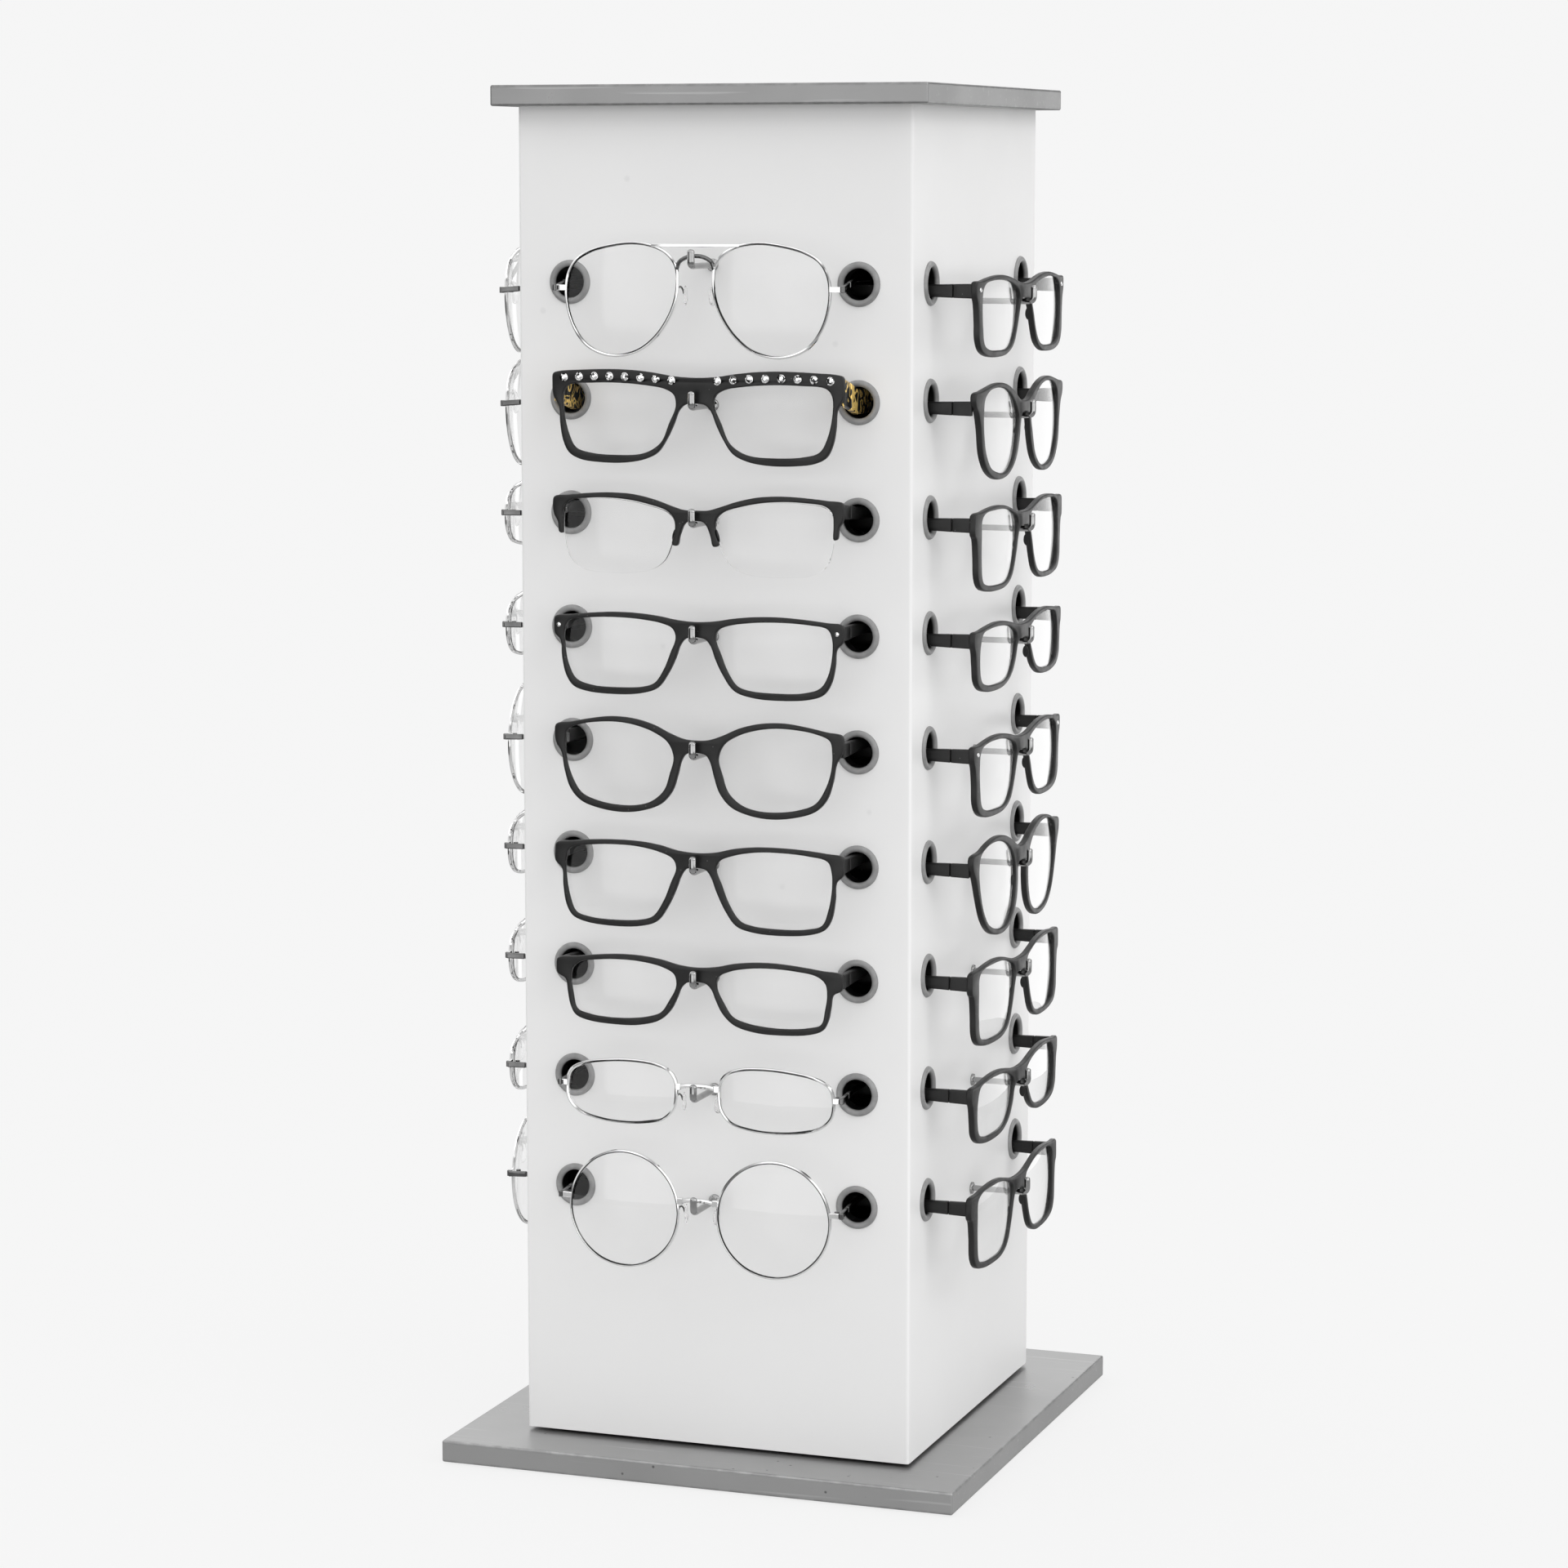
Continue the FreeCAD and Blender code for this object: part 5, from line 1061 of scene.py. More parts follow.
upright = add(grid_tree, "GeometryNodeMeshLine", {
    "Count": given["Rows"], "Start Location": vector_of(grid_tree, z=given["Lowest row"]),
    "Offset": vector_of(grid_tree, z=given["Row pitch"])}).outputs[0]
index = add(grid_tree, "GeometryNodeInputIndex").outputs[0]
first_high = maths(grid_tree, "SUBTRACT", given["Rows"], given["High rows"])
is_high = maths(grid_tree, "GREATER_THAN", index, maths(grid_tree, "SUBTRACT", first_high, 0.5))
upright = add(grid_tree, "GeometryNodeSetPosition", {
    "Geometry": upright, "Selection": is_high,
    "Offset": vector_of(grid_tree, z=given["High lift"])}).outputs[0]
gaps = maths(grid_tree, "SUBTRACT", given["Columns"], 1.0)
first_x = maths(grid_tree, "MULTIPLY", maths(grid_tree, "MULTIPLY", gaps, -0.5),
                given["Column pitch"])
level_line = add(grid_tree, "GeometryNodeMeshLine", {
    "Count": given["Columns"], "Start Location": vector_of(grid_tree, x=first_x),
    "Offset": vector_of(grid_tree, x=given["Column pitch"])}).outputs[0]
columns = add(grid_tree, "GeometryNodeInstanceOnPoints", {
    "Points": level_line, "Instance": upright}).outputs[0]
points = add(grid_tree, "GeometryNodeRealizeInstances", {0: columns}).outputs[0]
fittings = add(grid_tree, "GeometryNodeInstanceOnPoints", {
    "Points": points, "Instance": given["Part"]}).outputs[0]
solid = add(grid_tree, "GeometryNodeRealizeInstances", {0: fittings}).outputs[0]
faced = add(grid_tree, "GeometryNodeTransform", {
    "Geometry": solid, "Rotation": vector_of(grid_tree, z=given["Turn"])}).outputs[0]
coated = add(grid_tree, "GeometryNodeSetMaterial", {
    "Geometry": faced, "Material": given["Finish"]}).outputs[0]
grid_tree.links.new(coated, made.inputs["Pieces"])


def generated(name, tree, mesh, material, body, stands_for, slot, **sizes):
    """Run a tree on a part and keep its result as a plain mesh piece."""
    holder = bpy.data.objects.new(name + "_holder", mesh)
    scene.collection.objects.link(holder)
    modifier = holder.modifiers.new("generator", "NODES")
    modifier.node_group = tree
    sizes["Finish"] = material
    for item in tree.interface.items_tree:
        if item.item_type == "SOCKET" and item.in_out == "INPUT" and item.name in sizes:
            modifier[item.identifier] = sizes[item.name]
    depsgraph = bpy.context.evaluated_depsgraph_get()
    plain = bpy.data.meshes.new_from_object(
        holder.evaluated_get(depsgraph), preserve_all_data_layers=True, depsgraph=depsgraph)
    holder.modifiers.clear()
    bpy.data.objects.remove(holder)
    plain.materials.clear()
    finished(name, plain, [material], body, stands_for)


print("generator:", len(grid_tree.nodes), "nodes")

# %% [markdown]
# ## Grommets
# A grommet is a moulded ring pressed into the panel: a domed flange outside, a neck
# through the board and a flange behind it.  A torus and a tube would meet in a seam, so
# the whole section is turned at once, and the generator sets eighteen in every face.

# %% Turn one ring and set it in all four faces
BORE = 7.1
DOME_MIDDLE, DOME_ROUND, DOME_STEPS = 8.6, 1.5, 10
section = []
for step in range(DOME_STEPS + 1):
    angle = math.radians(20 + 160 * step / DOME_STEPS)
    section.append((DOME_MIDDLE - DOME_ROUND * math.cos(angle), -DOME_ROUND * math.sin(angle)))
section += [(10.1, 0.05), (8.45, 0.05), (8.45, 6.0), (9.5, 6.0), (9.6, 6.2), (9.6, 7.0),
            (9.3, 7.2), (BORE, 7.2), (BORE, 0.6)]
ring = turned(section, 40)
# Mark the points of the hole's wall, where the painted shade goes.
painted_bore_shade = ring.attributes.new("painted_bore_shade", "FLOAT", "POINT")
for vertex, mark in zip(ring.vertices, painted_bore_shade.data):
    radius = math.hypot(vertex.co.x, vertex.co.z)
    mark.value = float(radius < (BORE + 0.12) * MM and vertex.co.y > -0.2 * MM)
ring.transform(Matrix.Translation((0, FACE_Y, 0)))
for face, angle in FACES.items():
    generated(face + "_grommet_rings", grid_tree, ring.copy(), grommet_grey, "column",
              [face + "_grommets"], "grommet_grey", **{
                  "Rows": ROWS, "Row pitch": ROW_PITCH, "Lowest row": ROW_LOW, "Columns": 2,
                  "Column pitch": HOLE_PITCH, "Turn": math.radians(angle)})

# %% [markdown]
# ## Hooks
# A hook is a stout oval rod, chromed, that runs straight out, turns up in a tight bend
# and ends in a rounded tip.  A bent curve with a round bevel gives the rod, but its end
# would be cut flat, so a turned cap closes it.  A turned collar covers the stud's hole.

# %% Make one hook
REACH, TALL, BEND = 29.2, 8.9, 3.6
OVAL = Matrix.Diagonal((1.25, 1.0, 1.0, 1.0))


def hook_point(depth, height):
    """A point of the rod's middle line, above the underside of the hook."""
    return Vector((0, FACE_Y - depth * MM, height * MM))


straight, round_by = REACH - BEND, BEND - ROD
path = [hook_point(depth, ROD) for depth in (0, straight / 2, straight - 1, straight)]
for step in range(1, 5):
    angle = math.radians(22.5 * step)
    path.append(hook_point(straight + round_by * math.sin(angle),
                           ROD + round_by * (1 - math.cos(angle))))
path.append(hook_point(REACH - ROD, TALL - ROD))
arm = rod(path, ROD, steps=3, rounds=4)
around = [math.radians(angle) for angle in range(-75, 90, 15)]
cap = turned([(0, -ROD)] + [(ROD * math.cos(angle), ROD * math.sin(angle)) for angle in around]
             + [(0, ROD)], 20, closed=False)
collar = turned([(0, -1.3), (2.1, -1.3), (2.7, -1.05), (2.9, -0.7), (2.9, 0.1), (0, 0.1)],
                28, closed=False)
stud = turned([(0, 9.2), (1.3, 9.2), (1.5, 9.0), (1.5, 0.0), (0, 0.0)], 16, closed=False)
lift = Matrix.Translation((0, FACE_Y, ROD * MM))
hook = joined("hook", [(arm, OVAL, 0), (cap, Matrix.Translation(path[-1]) @ OVAL, 0),
                       (collar, lift, 0), (stud, lift, 0)])
print("hook:", len(hook.polygons), "faces")

# %% Set the hooks on all four faces
for face, angle in FACES.items():
    usual = HOOK_RISE[face]
    generated(face + "_chrome_hooks", grid_tree, hook.copy(), chrome, "column",
              [face + "_hooks"], "hook_chrome", **{
                  "Rows": ROWS, "Row pitch": ROW_PITCH, "Lowest row": ROW_LOW + usual * MM,
                  "Columns": 1, "Column pitch": 0.0, "High rows": HIGH_HOOK_ROWS[face],
                  "High lift": (HIGH_HOOK_RISE[face] - usual) * MM,
                  "Turn": math.radians(angle)})

# %% [markdown]
# ## Acetate fronts
# An acetate front is milled from a sheet, tumbled until its edges are round and pressed
# over a gentle curve.  The model follows the same order: ease the outline, cut it with
# its two openings, round the edges, then bend the sheet.  A Simple Deform modifier could
# bend it; a rule that moves every point gives a curve that lenses, stones and rivets can
# follow too.  Small nose pads are moulded on behind the rims.

# %% Helpers for a curved front
BEND_RADIUS = 1.0
FRONT_DEPTH, FRAME_THICK, FRAME_EDGE = 24.2, 2.9, 0.75
MOULDED_PAD_DEPTH, MOULDED_PAD_LEAN = 21.9, 16


def mirrored(points):
    return [(-x, z) for x, z in points]


def whole_rim(half):
    """A closed loop from a right half that starts on the middle line."""
    return half + [(-x, z) for x, z in reversed(half[1:])]


def grown(points, amount):
    """The same loop moved outwards along its local normal."""
    count = len(points)
    area = sum(points[i - 1][0] * points[i][1] - points[i][0] * points[i - 1][1]
               for i in range(count))
    side = math.copysign(amount, area)
    moved = []
    for i, (x, z) in enumerate(points):
        x_one, z_one = points[i - 1]
        x_two, z_two = points[(i + 1) % count]
        along = math.hypot(x_two - x_one, z_two - z_one)
        moved.append((x + side * (z_two - z_one) / along, z - side * (x_two - x_one) / along))
    return moved


def sheet_y(x, depth):
    """Where the curved sheet lies at x, for a depth in millimetres before the face."""
    return FACE_Y - depth * MM + x * x / (2 * BEND_RADIUS)


def pressed(mesh, depth):
    """Stand a flat part up and press it over the curve, its middle at the depth."""
    return reshaped(mesh, lambda p: Vector((p.x, sheet_y(p.x, depth) - p.z, p.y)))


def oval_drop(name, width, depth, height):
    """A smooth drop with the given half measures, in millimetres."""
    work = bmesh.new()
    bmesh.ops.create_icosphere(work, subdivisions=3, radius=MM)
    mesh = mesh_from(work, name)
    mesh.shade_smooth()
    mesh.transform(Matrix.Diagonal((width, depth, height, 1.0)))
    return mesh


def moulded_pad(x, z, lean):
    """A nose pad moulded on the back of an acetate rim."""
    mesh = oval_drop("moulded_pad", 0.7, 1.5, 3.0)
    mesh.transform(Matrix.Rotation(math.radians(lean), 4, "Y"))
    mesh.transform(Matrix.Rotation(math.radians(-lean * 0.9), 4, "Z"))
    mesh.transform(Matrix.Translation((x * MM, FACE_Y - MOULDED_PAD_DEPTH * MM, z * MM)))
    return mesh


print("fronts are bent to a radius of %.1f m" % BEND_RADIUS)

# %% Ease the outlines
NOSE_SIDE, OUTER_SIDE = 28, 55
LENS_SEAT = 0.7


def eased(points, bridge, lowest, nose, outer):
    """The loop with its nose side and its outer side moved below the bridge.

    The rim is left broad along the nose and is filed thin under its end piece.
    """
    moved = []
    for x, z in points:
        below = bridge - 2.0 - z
        if below > 0 and x < NOSE_SIDE:
            x += nose * min(1.0, below / 5) * min(1.0, (NOSE_SIDE - x) / 6)
        elif below > 0 and x > OUTER_SIDE:
            x += outer * max(0.0, 1 - 0.7 * below / (bridge - lowest))
        moved.append((x, z))
    return moved


for loops in RIMS.values():
    bridge = loops["rim"][-1][1]
    lowest = min(z for x, z in loops["rim"])
    loops["rim"] = eased(loops["rim"], bridge, lowest, -1.0, -1.3)
    opening = eased(loops["lens"], bridge, lowest, 1.4, 0.7)
    loops["lens"] = [(x, z + LENS_SEAT if z < lowest + 6 else z) for x, z in opening]
print("eased rims:", len(RIMS))

# %% Cut and bend the acetate fronts
def acetate_front(style):
    """All parts of one acetate front, at the height of its row."""
    middle = FRONT_DEPTH - FRAME_THICK / 2
    if style == "half_rim":
        loops = [whole_rim(HALF_RIM)]
        pads = (10.4, -7.0)
    else:
        lens = RIMS[style]["lens"]
        loops = [whole_rim(RIMS[style]["rim"]), lens, mirrored(lens)]
        pads = (10.8, -8.5) if RIMS[style]["rim"][0][1] > 0 else (10.6, -15.5)
    parts = [pressed(cut_sheet(loops, FRAME_THICK, FRAME_EDGE), middle)]
    parts += [moulded_pad(sign * pads[0], pads[1], -sign * MOULDED_PAD_LEAN)
              for sign in (-1, 1)]
    return [(part, 0) for part in parts]


ACETATE = {style: acetate_front(style) for style in list(RIMS) + ["half_rim"]}
print("acetate fronts:", len(ACETATE), "styles of about",
      len(ACETATE["soft_oval"][0][0].polygons), "faces")

# %% [markdown]
# ## Wire fronts
# A wire front is bent from thin round wire and soldered: two rims, a bridge bar, small
# square end pieces and two thin arms that carry the nose pads.  A swept mesh could be
# modelled for each; a curve with a round bevel keeps the wire even in every bend.

# %% Helpers for wire and bar
WIRE_DEPTH, WIRE_RADIUS, ARCH_RADIUS, BOW_RADIUS = 22.3, 0.84, 0.95, 1.15
ARM_RADIUS, SOLDER_RADIUS = 0.42, 0.62


def on_curve(points, depth):
    """Outline points in millimetres carried on to the curved sheet."""
    return [Vector((x * MM, sheet_y(x * MM, depth), z * MM)) for x, z in points]


def bar(x_from, x_to, z_middle, tall, thick, depth):
    """A flat bar across the sheet, with rounded edges."""
    left, right = sorted((x_from, x_to))
    low, high = z_middle - tall / 2, z_middle + tall / 2
    corners = [(left, low, 0.3), (right, low, 0.3), (right, high, 0.3), (left, high, 0.3)]
    return pressed(cut_sheet([corners], thick, 0.25), depth)


def before_face(x, z, depth):
    """A point in millimetres, before the flat face of the panel."""
    return Vector((x * MM, FACE_Y - depth * MM, z * MM))


print("wire at %.1f mm before the panel" % WIRE_DEPTH)

# %% Bend and solder the wire fronts
def wire_front(style):
    """All parts of one wire front with their finish: 0 is bright and 1 is dark."""
    middle = WIRES[style]
    parts = [(rod(on_curve(line, WIRE_DEPTH), WIRE_RADIUS, True), 0)
             for line in (middle, mirrored(middle))]
    right, left = max(x for x, z in middle), min(x for x, z in middle)
    height = WIRE_BRIDGE[style]
    if style == "wire_aviator":
        parts.append((bar(-21, 21, height, 1.4, 1.4, WIRE_DEPTH + 0.4), 0))
        arch = [(-9.0, 6.6), (-7.6, 9.9), (-4.2, 11.9), (0, 12.5), (4.2, 11.9), (7.6, 9.9),
                (9.0, 6.6)]
        parts.append((rod(on_curve(arch, WIRE_DEPTH), ARCH_RADIUS), 1))
    else:
        bow = [(-left - 0.3, height - 0.9), (-left * 0.5, height + 0.2), (0, height + 0.3),
               (left * 0.5, height + 0.2), (left + 0.3, height - 0.9)]
        parts.append((rod(on_curve(bow, WIRE_DEPTH), BOW_RADIUS), 0))
        for sign in (-1, 1):
            parts.append((bar(sign * (left - 2.3), sign * (left + 0.3), height - 0.5, 3.0, 2.4,
                              WIRE_DEPTH), 0))
    arm = [(left + 0.3, -2.2, 21.9), (left - 0.6, -1.2, 20.2), (left - 1.1, -2.4, 18.6),
           (left - 1.5, -4.4, 18.0)]
    solder = [(left + 0.4, -3.2, 22.0), (left + 0.4, -1.2, 22.0)]
    end = WIRE_END[style]
    for sign in (-1, 1):
        parts.append((bar(sign * (right - 0.2), sign * 67.9, end, 2.6, 1.8, WIRE_DEPTH), 0))
        parts.append((bar(sign * 68.1, sign * 69.9, end, 2.8, 2.2, WIRE_DEPTH - 0.2), 1))
        for line, radius, finish in ((arm, ARM_RADIUS, 1), (solder, SOLDER_RADIUS, 0)):
            points = [before_face(sign * x, z, depth) for x, z, depth in line]
            parts.append((rod(points, radius), finish))
    return parts


WIRE_FRONTS = {style: wire_front(style) for style in WIRES}
print("wire fronts:", len(WIRE_FRONTS), "styles")

# %% [markdown]
# ## What hangs where
# The stock list names the style on every hook, from the top row down, and a second list
# how far each face's pairs sit above the usual seat.  One list for all the pieces means
# that fronts, lenses, temples and pads can't drift apart.  The lowest hook of the back
# face is left free for another pair.

# %% Stock list
STOCK = {
    "front": ["wire_aviator", "flat_top", "half_rim", "soft_rectangle", "soft_oval",
              "square_ends", "narrow_rectangle", "wire_rectangle", "wire_round"],
    "right": ["riveted_square", "soft_round", "large_rectangle", "small_rectangle",
              "riveted_square", "tall_round", "large_rectangle", "small_rectangle",
              "large_rectangle"],
    "back": ["large_rectangle", "small_rectangle", "riveted_square", "soft_round",
             "small_rectangle", "large_rectangle", "tall_round", "riveted_square"],
    "left": ["wire_aviator", "wire_aviator", "wire_rectangle", "wire_rectangle",
             "wire_round", "wire_rectangle", "wire_rectangle", "wire_rectangle",
             "wire_round"],
}
SEAT_RISE = {"front": 0.0, "right": 0.0, "back": 6.1, "left": -3.6}
AVIATOR_RISE = {"front": 0.0, "left": -2.6}
FACE_NODES = {face: sorted(name for name in nodes if name.startswith("frame_%s_" % face))
              for face in ("front", "right")}


def seat(face, row, rise):
    """Where a part at its seat's height goes, on a face and row."""
    return on_face(face, row_height(row) + rise * MM)


def pairs_on(face):
    """Row, style and rise of every pair on a face."""
    for row, style in enumerate(STOCK[face], start=1):
        rises = AVIATOR_RISE if style == "wire_aviator" else SEAT_RISE
        yield row, style, rises[face]


print("pairs in stock:", sum(len(styles) for styles in STOCK.values()))

# %% Hang the fronts
shared = {"back": [], "left": []}
for face in FACES:
    for row, style, rise in pairs_on(face):
        wire = style in WIRES
        parts = [(mesh, seat(face, row, rise), finish)
                 for mesh, finish in (WIRE_FRONTS if wire else ACETATE)[style]]
        if face in shared:
            shared[face] += parts
            continue
        node = FACE_NODES[face][row - 1]
        gathered(node.replace("frame", "spectacles", 1), parts,
                 [frame_chrome, dark_chrome] if wire else [frame_black], "column", [node])
gathered("spectacles_back", shared["back"], [frame_black], "column", ["frames_back"])
gathered("spectacles_left", shared["left"], [frame_chrome, dark_chrome], "column",
         ["frames_left"])

# %% [markdown]
# ## Lenses
# A lens is a slightly bulged shell.  A flat pane would mirror the tent as one even tone;
# the bulge bends the soft box into bright patches.  Rings of the outline are drawn in
# towards its middle and raised to a sphere, first in front and then behind, and a wall
# closes the rim.

# %% Helpers for a lens
LENS_THICK, LENS_DEPTH = 1.6, 22.2
LENS_RINGS, LENS_STEPS = 7, 4


def loop_points(points):
    """Points along the smooth loop, read from the curve itself."""
    curve = bpy.data.curves.new("loop", "CURVE")
    curve.dimensions = "3D"
    curve.resolution_u = LENS_STEPS
    smooth_spline(curve, flat_loop(points))
    holder = bpy.data.objects.new("loop", curve)
    mesh = bpy.data.meshes.new_from_object(holder)
    found = [(v.co.x, v.co.y) for v in mesh.vertices]
    bpy.data.objects.remove(holder)
    bpy.data.curves.remove(curve)
    bpy.data.meshes.remove(mesh)
    return found


def lens_mesh(points, bulge, tilt):
    """A closed lens: front rings, a rim wall and back rings."""
    rim = loop_points(points)
    count = len(rim)
    middle_x = sum(x for x, z in rim) / count
    middle_z = sum(z for x, z in rim) / count
    mean = sum((x - middle_x) ** 2 + (z - middle_z) ** 2 for x, z in rim) / count

    def spot(x, z, side):
        square = (x - middle_x) ** 2 + (z - middle_z) ** 2
        rise = (mean - square) / (2 * bulge) + tilt * (z - middle_z)
        y = sheet_y(x, LENS_DEPTH + side * LENS_THICK / 2) - rise
        return (x, y, z)

    work = bmesh.new()
    rings = []
    for side in (1, -1):
        shares = [1 - ring / LENS_RINGS for ring in range(LENS_RINGS)]
        skin = [[work.verts.new(spot(middle_x + (x - middle_x) * share,
                                     middle_z + (z - middle_z) * share, side))
                 for x, z in rim] for share in shares]
        pole = work.verts.new(spot(middle_x, middle_z, side))
        for index in range(count):
            nxt = (index + 1) % count
            for one, two in zip(skin, skin[1:]):
                work.faces.new([one[index], one[nxt], two[nxt], two[index]])
            work.faces.new([skin[-1][index], skin[-1][nxt], pole])
        rings.append(skin[0])
    for index in range(count):
        nxt = (index + 1) % count
        work.faces.new([rings[0][index], rings[0][nxt], rings[1][nxt], rings[1][index]])
    bmesh.ops.recalc_face_normals(work, faces=work.faces)
    return softened(mesh_from(work, "lens"))


print("a lens has %d rings on each side" % LENS_RINGS)

# %% Seat the lenses
BULGE, HALF_RIM_BULGE, HALF_RIM_TILT = 0.13, 0.16, 0.02
WIRE_INSET, HALF_RIM_INSET, GROOVE = 0.35, 0.1, 0.45


def lens_pair(style):
    """Both lenses of a style, seated in their grooves."""
    bulge, tilt = BULGE, 0.0
    if style in WIRES:
        line = grown(WIRES[style], -WIRE_INSET)
    elif style == "half_rim":
        line = grown(HALF_LENS, -HALF_RIM_INSET)
        bulge, tilt = HALF_RIM_BULGE, HALF_RIM_TILT
    else:
        line = grown(RIMS[style]["lens"], GROOVE)
    return [lens_mesh(line, bulge, tilt), lens_mesh(mirrored(line), bulge, tilt)]


LENSES = {style: lens_pair(style) for style in list(RIMS) + ["half_rim"] + list(WIRES)}
COATED = {("front", 2), ("front", 5)}
for face in FACES:
    parts = []
    for row, style, rise in pairs_on(face):
        finish = int((face, row) in COATED)
        parts += [(mesh, seat(face, row, rise), finish) for mesh in LENSES[style]]
    gathered(face + "_lenses", parts, [lens_clear, lens_coated], "column",
             ["lenses_" + face])

# %% [markdown]
# ## Temples
# A temple starts as an end piece behind the front, then a fine joint at the hinge, then
# the long arm that passes the grommet and bends down at its ear end inside the column.
# A long box could be bent by an armature; a side profile cut from sheet gives the true
# flare at the root and a round tip at once.  Wire fronts have thinner arms.

# %% Cut one temple
ROOT, STRAIGHT, LONG = 17.6, 98.0, 140.0
DROP = math.radians(28.0)
BLOCK, BLOCK_BACK, JOINT = 7.0, -1.9, 0.28
FLARE, DEEP_END, SLIM_FROM = 17.0, 33.0, 38.0


def temple_parts(low, tall, root_low, root_tall, thick, toe, sign, deep=(0.0, 0.0)):
    """The end piece, and the arm from its hinge to its ear tip.

    A deep arm reaches further down and up, to a little way inside the column.
    """
    edge = min(0.55, thick * 0.28)
    top, bottom = low + tall, low
    deep_low, deep_top = low - deep[0], top + deep[1]

    def edges_at(run):
        """Heights of the lower and the upper edge along the flare."""
        share = min(1.0, max(0.0, run / FLARE))
        root_top = root_low + root_tall
        return root_low + (deep_low - root_low) * share, root_top + (deep_top - root_top) * share

    a_low, a_high = edges_at(BLOCK_BACK)
    b_low, b_high = edges_at(BLOCK)
    block = [(BLOCK_BACK, a_low, 0.3), (BLOCK, b_low, 0.3), (BLOCK, b_high, 0.3),
             (BLOCK_BACK, a_high, 0.3)]
    tip = LONG - STRAIGHT - 10
    narrow = tall * 0.86
    end_x = STRAIGHT + 10 + tip * math.cos(DROP)
    end_z = low - 1.2 - tip * math.sin(DROP)
    lift_x, lift_z = math.sin(DROP) * narrow, math.cos(DROP) * narrow
    c_low, c_high = edges_at(BLOCK + JOINT)
    arm = [(BLOCK + JOINT, c_low, 0.3), (FLARE, deep_low, 6.0)]
    if deep[0]:
        arm += [(DEEP_END, deep_low, 4.0), (SLIM_FROM, bottom, 3.0)]
    arm += [(STRAIGHT + 4, bottom, 14.0), (end_x, end_z, narrow * 0.46),
            (end_x + lift_x, end_z + lift_z, narrow * 0.46), (STRAIGHT + 4, top, 14.0)]
    if deep[0]:
        arm += [(SLIM_FROM, top, 3.0), (DEEP_END, deep_top, 4.0)]
    arm += [(FLARE, deep_top, 6.0), (BLOCK + JOINT, c_high, 0.3)]
    place = Matrix.Translation((sign * (68.2 + 0.4 * toe) * MM, FACE_Y - ROOT * MM, 0))
    place = place @ Matrix.Rotation(math.radians(sign * toe), 4, "Z")
    made = []
    for outline in (block, arm):
        mesh = cut_sheet([outline], thick, edge)
        mesh = reshaped(mesh, lambda p: Vector((p.z, p.x, p.y)))
        mesh.transform(place)
        made.append(mesh)
    return made


print("a temple is %.0f mm long" % LONG)

# %% Fit all the temples
TOE = {"front": 0.6, "back": 5.6, "right": 0.6, "left": 5.6}
HIGH = ("front", "back")
WIRE_SIDES = ("front_wire", "left")


def temples_for(face, style, rise):
    """Both temples of a pair, in the face's own axes."""
    high = face in HIGH
    made = []
    for sign in (-1, 1):
        if style in WIRES:
            root = WIRE_END[style] + rise - 1.3
            low = 1.0 if high else -4.2
            made += temple_parts(low, 2.6, root, 2.6, 1.8, TOE[face], sign)
        elif style == "flat_top":
            made += temple_parts(0.35, 5.5, -0.6, 12.0, 2.8, TOE[face], sign, (5.6, 0.25))
        elif high:
            root = 1.6 if style == "half_rim" else -0.4
            made += temple_parts(0.35, 5.5, root, 6.8, 2.8, TOE[face], sign)
        else:
            made += temple_parts(-6.0, 5.6, -6.6, 6.6, 2.8, TOE[face], sign)
    return made


groups = {"front_black": [], "front_gold": [], "front_wire": [], "right": [], "back": [],
          "left": []}
for face in FACES:
    for row, style, rise in pairs_on(face):
        group = face
        if face == "front":
            group = "front_wire" if style in WIRES else "front_black"
            group = "front_gold" if style == "flat_top" else group
        groups[group] += [(mesh, seat(face, row, 0), 0)
                          for mesh in temples_for(face, style, rise)]
for group, parts in groups.items():
    finish, slot = temple_black, "frame_black"
    if group in WIRE_SIDES:
        finish, slot = dark_chrome, "frame_chrome"
    if group == "front_gold":
        finish, slot = gilt, "temple_gold"
    gathered(group + "_temples", parts, [finish], "column", ["temples_" + group])

# %% [markdown]
# ## Nose pads, stones and rivets
# The wire fronts carry soft clear pads.  The jewelled front has a line of cut stones in
# thin settings along its brow, and some acetate fronts show a domed rivet.  The stones
# could be placed one by one; a second generator sets the line along the arch of the brow
# and the curve of the front.

# %% Soft nose pads
PAD_DEPTH, PAD_HEIGHT, PAD_IN, PAD_SPLAY, PAD_TAPER = 17.3, -5.2, 2.0, 24, 60
drop = oval_drop("pad_drop", 1.1, 2.5, 4.4)
drop = reshaped(drop, lambda p: Vector((p.x, p.y * (1 - PAD_TAPER * p.z), p.z)))
parts = []
for face in FACES:
    for row, style, rise in pairs_on(face):
        if style not in WIRES:
            continue
        left = min(x for x, z in WIRES[style])
        for sign in (-1, 1):
            spot = Matrix.Translation(before_face(sign * (left - PAD_IN), PAD_HEIGHT, PAD_DEPTH))
            splay = Matrix.Rotation(math.radians(-sign * PAD_SPLAY), 4, "Z")
            parts.append((drop, seat(face, row, rise) @ spot @ splay, 0))
gathered("soft_nose_pads", parts, [pad_clear], "column", ["nose_pads"])

